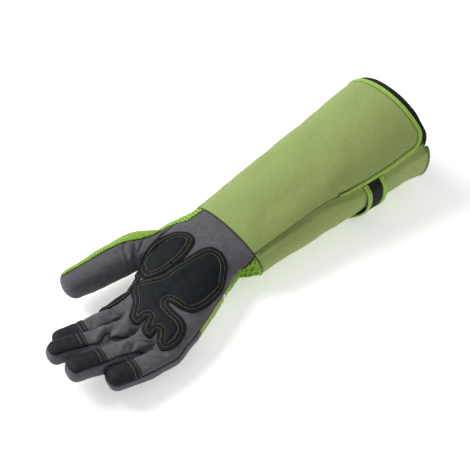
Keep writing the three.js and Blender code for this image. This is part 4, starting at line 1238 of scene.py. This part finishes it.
def finger_distance(name):
    """A field: how near a point is to one finger's axis compared with the other fingers'."""
    row = np.linspace(2.5, 5, 40)
    tree = {other: digit_frame(path, 1, 1, row)[0] for other, path in FINGERS.items()}

    def field(p):
        def near(axis):
            best = np.full(len(p), 1.0)
            for a in axis:
                best = np.minimum(best, np.linalg.norm(p - a, axis=1))
            return best
        others = np.minimum.reduce([near(axis) for other, axis in tree.items() if other != name])
        return others - near(tree[name])

    return field


def cap_height(rim, t):
    height = 0.3 * MM + 0.9 * MM * quarter_round(rim, 1.0 * MM)
    height += 0.35 * MM * half_round(t, *CAP_BAND) * smooth(rim, 0, 2 * MM)
    return height - 0.25 * MM * sum(bell(t, row, 0.4 * MM) for row in CAP_ROWS)


for name, path in FINGERS.items():
    centre, ahead, _, _, wide, _ = digit_frame(path, FINGER_WIDTH, FINGER_DEPTH, np.array([5.0]))
    start = centre[0] + ahead[0] * (TIP_ROUND * wide[0] - CAP_LENGTH[name] * MM)
    tip = lambda p, a=ahead[0], s=start: (p - s) @ a
    mesh = cut(hand, both(tip, over_seam, finger_distance(name)), finer=1)
    relaxed(mesh, 2)
    t = tip(coords(mesh))
    raise_by(mesh, cap_height(rim_distance(mesh), t))
    threads = stitch_row(mesh, [line for row in CAP_ROWS for line in trace(mesh, t, row)])
    piece(name + " cap", mesh, cap_black, [name + "_cap"], "black_patch", 1.0 * MM)
    piece(name + " cap stitches", threads, thread)


# %% [markdown]
# The cuff is a tapering tube lying flattened on its side: a top panel sewn to the back
# one along both sides, open from the slit to the mouth. Both follow one surface, given by
# t from the wrist to the mouth and an angle counted from the thumb side over the top. Cloth
# thrown over a form would settle by itself, but this cuff is stiff and keeps its cut.

# %% The cuff's surface
CUFF_SQUARENESS = 2.05
MEAN_RADIUS = 50 * MM


def seam_angle(t, side):
    return np.radians(np.interp(t, CUFF_SEAMS["t"], CUFF_SEAMS[side]))


def dents(t, angle):
    depth = 0
    for place, degrees, length, spread, deep in CUFF_DENTS:
        along = (t - place) / length
        round_ = (angle - math.radians(degrees)) / math.radians(spread)
        depth = depth + deep * MM * np.exp(-along**2 - round_**2)
    return depth


def cuff_section(t):
    """The cuff's half width at t, and the heights of its top and its underside."""
    half_width = lerp(WRIST_HALF, MOUTH_WIDTH / 2, t)
    over = lerp(WRIST_TOP, MOUTH_DEPTH - REST_SAG, t)
    return half_width, over, lerp(WRIST_LOW, -REST_SAG, t)


def cuff_point(t, angle, inset):
    """A point of the cuff, inset by a distance under its outer face."""
    half_width, over, under = cuff_section(t)
    half_depth = (over - under) / 2
    c, s = round_square(angle, CUFF_SQUARENESS)
    deep = inset + dents(t, angle)
    y = c * (half_width - deep)
    z = np.maximum((over + under) / 2 + s * (half_depth - deep), np.maximum(inset, 0))
    lean = lerp(WRIST_SLANT, MOUTH_SLANT, t) * (z - (over + under) / 2) / half_depth
    return np.stack([t * CUFF_LENGTH - lean, y, z], 1)


def cuff_radius(t):
    return lerp(PALM_WIDTH * 0.45, (MOUTH_WIDTH + MOUTH_DEPTH) / 4, t)


def cloth_waves(t, angle):
    """The cloth's own softness: long shallow waves, with finer ones on them."""
    p = np.stack([t * CUFF_LENGTH, np.cos(angle) * MEAN_RADIUS, np.sin(angle) * MEAN_RADIUS], 1)
    kinds = ((60, 11, 0.8), (24, 12, 0.28), (11, 13, 0.07))
    return sum(waves(p, length * MM, seed) * height * MM for length, seed, height in kinds)


print("dents", len(CUFF_DENTS))

# %% [markdown]
# Past the slit the lower panel lies a step under the upper one, and at the mouth it ends in
# a lobe that reaches out. Its edge is drawn back where the mouth turns under the arm.

# %% Steps, lobes and corners
def flap_step(t, angle):
    open_ = lerp(0.95 * smooth(t, 0, 0.03), 1, smooth(t, SLIT_START - 0.12, SLIT_START - 0.02))
    edge = seam_angle(t, "little")
    return open_ * (1 - smooth(angle, edge + math.radians(3), edge + math.radians(13)))


def lobe(angle):
    edge = seam_angle(1, "little")
    return smooth(angle, edge - math.radians(6), edge + math.radians(12)) * (
        1 - smooth(angle, math.radians(205), math.radians(232)))


def flare(t, angle):
    """How far the lobe stands out."""
    return lobe(angle) * LOBE_FLARE * smooth(t, 0.86, 1)


def back_reach(angle):
    drawn = smooth(angle, math.radians(165), math.radians(208)) * (
        1 - smooth(angle, math.radians(300), math.radians(370)))
    return lerp(LOBE_REACH, -BACK_RECESS, drawn) / CUFF_LENGTH


def corner_back(t, radius, end):
    into = np.clip(t * CUFF_LENGTH - (end * CUFF_LENGTH - radius), 0, radius)
    return radius - np.sqrt(radius * radius - into * into)


IN_BINDING = 0.55
BOUND = BINDING_WIDTH * IN_BINDING
END = 1 - BOUND / CUFF_LENGTH
STRAIGHT = 0.85


def narrowed(t):
    """The share of its full width that the slit's binding has at t."""
    return lerp(0.4, 1, smooth(t, SLIT_START, SLIT_START + 0.2))


print("corner", round(SLIT_CORNER / MM), "mm, bound by", round(BINDING_WIDTH / MM, 1), "mm")


# %% [markdown]
# The upper panel ends at the mouth with a rounded corner over the slit. The grid's last
# rows bend round that corner, so its edge stays smooth.

# %% The cuff's front panel
def front_place(u, v):
    radius = SLIT_CORNER - BOUND
    turn = math.pi / 2 * np.maximum((v - STRAIGHT) / (1 - STRAIGHT), 0)
    before = lerp(0, END - radius / CUFF_LENGTH, np.minimum(v / STRAIGHT, 1))
    t = before + radius * np.sin(turn) / CUFF_LENGTH
    bound = smooth(t, SLIT_START - 0.03, SLIT_START) * BOUND * narrowed(t)
    back = bound + corner_back(t, radius, END)
    start = seam_angle(t, "little") - back / cuff_radius(t)
    angle = lerp(start, seam_angle(t, "thumb"), u)
    sewn = 1 - smooth(t, SLIT_START - 0.01, SLIT_START + 0.02)
    across = (start - angle) * cuff_radius(t)
    end = (angle - seam_angle(t, "thumb")) * cuff_radius(t)
    sink = roll(t * CUFF_LENGTH) + roll(across, 0.5 * MM, 0.7 * MM) * sewn + roll(end)
    free = smooth(t, 0, 0.05) * (1 - smooth(t, 0.93, 0.97))
    free = free * lerp(smooth(across, 0, 0.02), 1, sewn)
    return cuff_point(t, angle, sink - cloth_waves(t, angle) * free)


front = grid(180, 240, front_place, (0.19, 0.221))
# Painted shade along the front's sewn edges; past the slit it reaches 2.2 mm further in, a painted shadow
# beside the binding's inner edge.
slit_near = smooth(coords(front)[:, 0] / CUFF_LENGTH, SLIT_START - 0.01, SLIT_START + 0.02)
paint_seam_shade(front, rim_distance(front) - slit_near * 2.2 * MM, 1.4 * MM)
piece("cuff front", front, sage, ["cuff_front"], "sage_cloth", CUFF_WALL)


# %% [markdown]
# The lower panel goes round underneath, from under the slit to the seam on the thumb's
# side. It starts a little under the front panel, so that no gap shows where they are sewn.

# %% The cuff's back panel
HIDDEN_OVERLAP = 2.5 * MM


def back_place(u, v):
    reach = lerp(0, END, v)
    flap = lerp(HIDDEN_OVERLAP, FLAP_OVERLAP, smooth(v, SLIT_START, SLIT_START + 0.09))
    start = seam_angle(reach, "little") - flap / cuff_radius(reach)
    finish = seam_angle(reach, "thumb") + 2 * math.pi
    angle = lerp(start, finish, u**1.3)
    t = lerp(0, 1 - BACK_BINDING_WIDTH * IN_BINDING / CUFF_LENGTH + back_reach(angle), v)
    under = flap_step(t, angle)
    step = FLAP_DEPTH * under - flare(t, angle) * (1 - under)
    across = (angle - start) * cuff_radius(t)
    end = (finish - angle) * cuff_radius(t)
    sink = roll(t * CUFF_LENGTH) + roll(end)
    free = smooth(t, 0, 0.05) * (1 - smooth(t, 0.9, 0.98)) * smooth(across, 0, 0.02)
    return cuff_point(t, angle, step + sink - cloth_waves(t, angle) * free)


def past_front(p):
    """How far points of the cuff lie past the front panel's edge, going round."""
    t = p[:, 0] / CUFF_LENGTH
    half_width, over, under = cuff_section(t)
    up = (p[:, 2] - (over + under) / 2) / (over - under) * 2
    angle = np.arctan2(up, p[:, 1] / half_width)
    angle = np.where(angle < math.pi / 3, angle + 2 * math.pi, angle)
    return (angle - seam_angle(t, "little")) * cuff_radius(t)


back = grid(200, 230, back_place, (0.24, 0.221))
# Painted shade along the back's edges, and a painted shadow where the back shows past the front panel's
# edge.
shown = np.maximum(past_front(coords(back)), 0)
paint_seam_shade(back, np.minimum(rim_distance(back), shown), 1.8 * MM)
piece("cuff back", back, sage, ["cuff_back"], "sage_cloth", CUFF_WALL)


# %% [markdown]
# The bindings are strips folded over the panels' edges, drawn as a soft rounded section
# swept along the edge. A bevelled curve would do the same, but could not follow the cuff's
# surface on both sides. Rows of stitches hold the strips down.

# %% A bound edge
def bound_edge(path, flared, width):
    """A folded strip along a path of t and angle. w runs in from the free edge."""
    t, a = path[:, 0], path[:, 1]
    step = np.gradient(path, axis=0)
    along = np.stack([step[:, 0] * CUFF_LENGTH, step[:, 1] * cuff_radius(t)], 1)
    along /= np.linalg.norm(along, axis=1, keepdims=True)
    length = len(path) - 1

    def place(u, v):
        at = u * length
        pick = lambda values: np.interp(at, np.arange(length + 1), values)
        tc, ac, dt, da = pick(t), pick(a), pick(along[:, 0]), pick(along[:, 1])
        taper = end_taper(u, 0.012)
        c, s = round_square(v * 2 * math.pi, 3.2)
        w = width * narrowed(tc) / 2 * (1 - c * taper)
        thick = (CUFF_WALL + 2 * BINDING_PROUD) / 2
        ridge = 0.12 * MM * np.cos(u * length * 2.2) * (s > 0)
        depth = CUFF_WALL / 2 - s * (thick * taper + ridge)
        t_in = tc + da * w / CUFF_LENGTH
        a_in = ac - dt * w / cuff_radius(tc)
        return cuff_point(t_in, a_in, depth - flare(t_in, a_in) * flared)

    return place


def resampled(path, count):
    path = np.array(path)
    scaled = path * [CUFF_LENGTH, MEAN_RADIUS]
    length = np.r_[0, np.cumsum(np.linalg.norm(np.diff(scaled, axis=0), axis=1))]
    places = np.linspace(0, length[-1], count)
    return np.stack([np.interp(places, length, path[:, k]) for k in (0, 1)], 1)


def front_path():
    t = np.linspace(SLIT_START + 0.015, 1 - SLIT_CORNER / CUFF_LENGTH, 40)
    path = list(zip(t, seam_angle(t, "little")))
    for turn in np.radians(np.arange(6, 90, 6)):
        tc = 1 + SLIT_CORNER * (math.sin(turn) - 1) / CUFF_LENGTH
        path.append((tc, seam_angle(tc, "little") - SLIT_CORNER * (1 - math.cos(turn)) / cuff_radius(tc)))
    start = seam_angle(1, "little") - SLIT_CORNER / cuff_radius(1)
    path += [(1, a) for a in np.linspace(start, seam_angle(1, "thumb"), 60)]
    return resampled(path, 220)


def back_path():
    start = seam_angle(1, "little") + math.radians(3)
    angles = np.linspace(start, seam_angle(1, "thumb") + 2 * math.pi, 160)
    return resampled([(1 + back_reach(a), a) for a in angles[::-1]], 220)


# %% [markdown]
# The front strip is wide and bright, the back one narrow, with painted shade in its colour
# as it lies in the shade of the mouth. One loop makes both with their stitches.

# %% The two bindings
ROW = np.linspace(0.01, 0.99, 400)
ROW_PLACE = 0.3
for name, path, flared, width, look in (
        ("front binding", front_path(), 0, BINDING_WIDTH, binding_cloth),
        ("back binding", back_path(), 1, BACK_BINDING_WIDTH, shaded_binding)):
    place = bound_edge(path, flared, width)
    edge = grid(440, 20, place, (0.3, 2.5 * width))
    threads = stitch_row(edge, [place(ROW, np.full(len(ROW), ROW_PLACE))])
    piece(name, edge, look, [name.replace(" ", "_")], "lime_binding")
    piece(name + " stitches", threads, green_thread)


# %% [markdown]
# A black lining shows past the lime edge. Only its collar is made, as no more of it can
# be seen.

# %% Lining
LINING_WIDTH = 34 * MM
LINING_REACH = 6.5 * MM


def lining_place(u, v):
    angle = u * 2 * math.pi
    behind = smooth(angle, math.radians(152), math.radians(178)) * (
        1 - smooth(angle, math.radians(350), math.radians(358)))
    shown = lerp(LINING_REACH / CUFF_LENGTH, back_reach(angle) - 2 * MM / CUFF_LENGTH, behind)
    t = lerp(1 + (LINING_REACH - LINING_WIDTH) / CUFF_LENGTH, 1 + shown, v)
    off_slit = np.abs(angle - seam_angle(1, "little") + math.radians(4))
    turn = 1 - smooth(off_slit, math.radians(16), math.radians(30))
    under = turn * (CUFF_WALL + 0.7 * MM)
    p = np.stack([t, np.cos(angle) * 0.06, np.sin(angle) * 0.06], 1)
    sag = waves(p, 40 * MM, 21) * 0.4 * MM
    return cuff_point(t, angle, CUFF_WALL + BINDING_PROUD + 0.6 * MM + under + sag)


lining = grid(200, 24, lining_place, (0.36, 0.034))
piece("cuff lining", lining, lining_cloth, ["cuff_lining"], "lining", 1.2 * MM)


# %% [markdown]
# The strap spans the slit: a black web between two bound lime edges. Its three bands share
# one place function, so they stay side by side where the strap bows.

# %% Strap
STRAP_WIDTH = 25 * MM
STRAP_EDGE = 5.2 * MM
STRAP_AT = 0.672
STRAP_END = math.radians(238)
STRAP_LEAN = 19 * MM
STRAP_BULGE = 2.5 * MM


def strap_place(low, high, proud, thick):
    """A band of the strap between two distances across its width."""
    def place(u, v):
        c, s = round_square(u * 2 * math.pi, 3.0)
        taper = end_taper(v, 0.012)
        across = (low + high) / 2 + (high - low) / 2 * c * taper
        t = STRAP_AT + (across - STRAP_LEAN * v * v) / CUFF_LENGTH
        start = seam_angle(t, "little") + (0.5 * MM + BINDING_PROUD) / cuff_radius(t)
        angle = lerp(start, STRAP_END, v)
        bow = STRAP_BULGE * np.sin(math.pi * v) ** 1.5
        base = 0.6 * MM + bow + flare(t, angle)
        depth = FLAP_DEPTH * flap_step(t, angle) - base - proud / 2 - thick / 2 * (1 + s * taper)
        return cuff_point(t, angle, depth)
    return place


half_strap = STRAP_WIDTH / 2
half_web = half_strap - STRAP_EDGE
edge_look = (0.2 * MM, 2.1 * MM, binding_cloth, "lime_binding")
bands = [
    ("strap web", -half_web, half_web, 0, 1.6 * MM, webbing, "strap_web"),
    ("strap edge inner", -half_strap, -half_web, *edge_look),
    ("strap edge outer", half_web, half_strap, *edge_look),
]
for name, low, high, proud, thick, look, slot in bands:
    place = strap_place(low, high, proud, thick)
    band = grid(28, 90, place, (0.03, 0.08))
    if look is binding_cloth:
        threads = stitch_row(band, [place(np.full(len(ROW), 0.25), ROW)])
        piece(name + " stitches", threads, green_thread)
    piece(name, band, look, [name.replace(" ", "_")], slot)


# %% [markdown]
# A white cord of piping is sewn into the seam between the knuckle panel and the mesh. Its
# line is traced on the skin as the stitches' lines are, and a round section follows it.

# %% Piping
PIPING_RADIUS = 1.15 * MM


def piping():
    under_edge = both(no(over_seam), lambda p: STRIP_EDGE - p[:, 1])
    lines = trace(hand, beyond(PIPING_AT)(coords(hand)), 0.0)
    line = max((line[under_edge(line) > 0] for line in lines), key=len)
    order = np.argsort(np.unwrap(np.arctan2(line[:, 2] - 0.025, line[:, 1])))
    return softened(even(softened(line[order], 8), 1.5 * MM), 6)


cord = piping()
ahead = np.gradient(cord, axis=0)
ahead /= np.linalg.norm(ahead, axis=1, keepdims=True)
across = np.array([-1.0, 0, 0])
up = np.cross(ahead, across)


def piping_place(u, v):
    at, order = v * (len(cord) - 1), np.arange(len(cord))
    pick = lambda values: np.stack([np.interp(at, order, values[:, k]) for k in range(3)], 1)
    turn = u * 2 * math.pi
    radius = PIPING_RADIUS * end_taper(v, 0.01)
    out = pick(cord) + across * (np.cos(turn) * radius)[:, None]
    out += pick(up) * (np.sin(turn) * radius)[:, None]
    out[:, 2] = np.maximum(out[:, 2], 0)
    return out


piece("back piping", grid(16, 200, piping_place), piping_cloth, ["back_piping"], "piping")

# %% [markdown]
# The floor is plain and pale, and glows a little so that it stays near white round the
# glove. It rides on no body, which keeps it out of the part.

# %% Floor
FLOOR_SIZE = 6
bm = bmesh.new()
bmesh.ops.create_grid(bm, x_segments=1, y_segments=1, size=FLOOR_SIZE / 2)
mesh = bpy.data.meshes.new("floor")
bm.to_mesh(mesh)
bm.free()
floor = bpy.data.objects.new("floor", mesh)
floor.location = (0, 0, -0.2 * MM)
bpy.context.scene.collection.objects.link(floor)
floor_look, _, shader = material("floor", (0.96, 0.96, 0.96), 0.95)
shader.inputs["Emission Color"].default_value = (1, 1, 1, 1)
shader.inputs["Emission Strength"].default_value = 0.42
floor.data.materials.append(floor_look)
print("floor", FLOOR_SIZE, "m")


# %% [markdown]
# A product photograph is lit softly. A broad lamp stands above and behind, a weaker one in
# front, and a white world fills the shadows.

# %% Light
def lamp(name, place, size, power, aim=(0, 0, 0.03)):
    light = bpy.data.lights.new(name, "AREA")
    light.size = size
    light.energy = power
    obj = bpy.data.objects.new(name, light)
    obj.location = place
    obj.rotation_euler = (Vector(aim) - Vector(place)).to_track_quat("-Z", "Y").to_euler()
    bpy.context.scene.collection.objects.link(obj)


lamp("key", (-0.5, 1.1, 1.2), 1.0, 28)
lamp("fill", (0.2, -1.4, 1.0), 1.6, 2.5)
world = bpy.data.worlds.new("studio")
world.use_nodes = True
background = world.node_tree.nodes["Background"]
background.inputs["Color"].default_value = (1, 1, 1, 1)
background.inputs["Strength"].default_value = 0.42
bpy.context.scene.world = world
bpy.context.scene.view_settings.view_transform = "Standard"
print("lamps", len(bpy.data.lights))

# %% [markdown]
# The photograph's camera was found from the glove's outline: the directions it looks in,
# how it is tilted, its lens and its place. Its axes are set as a matrix, column by column.

# %% Camera
CAMERA_PLACE = (-0.68734, -0.87687, 1.20412)
lens = bpy.data.cameras.new("camera")
lens.lens = 122.6
lens.sensor_width = 36
camera = bpy.data.objects.new("camera", lens)
azimuth, elevation, tilt = (math.radians(a) for a in (-38.32, 46.18, -2.16))
level = Vector((math.cos(azimuth), math.sin(azimuth), 0))
flat = math.cos(elevation)
away = Vector((math.sin(azimuth) * flat, -math.cos(azimuth) * flat, math.sin(elevation)))
right = level * math.cos(tilt) + away.cross(level) * math.sin(tilt)
top = away.cross(right)
rows = [(*axes, place) for *axes, place in zip(right, top, away, CAMERA_PLACE)]
camera.matrix_world = Matrix([*rows, (0, 0, 0, 1)])
bpy.context.scene.collection.objects.link(camera)
bpy.context.scene.camera = camera
print("camera at", CAMERA_PLACE)
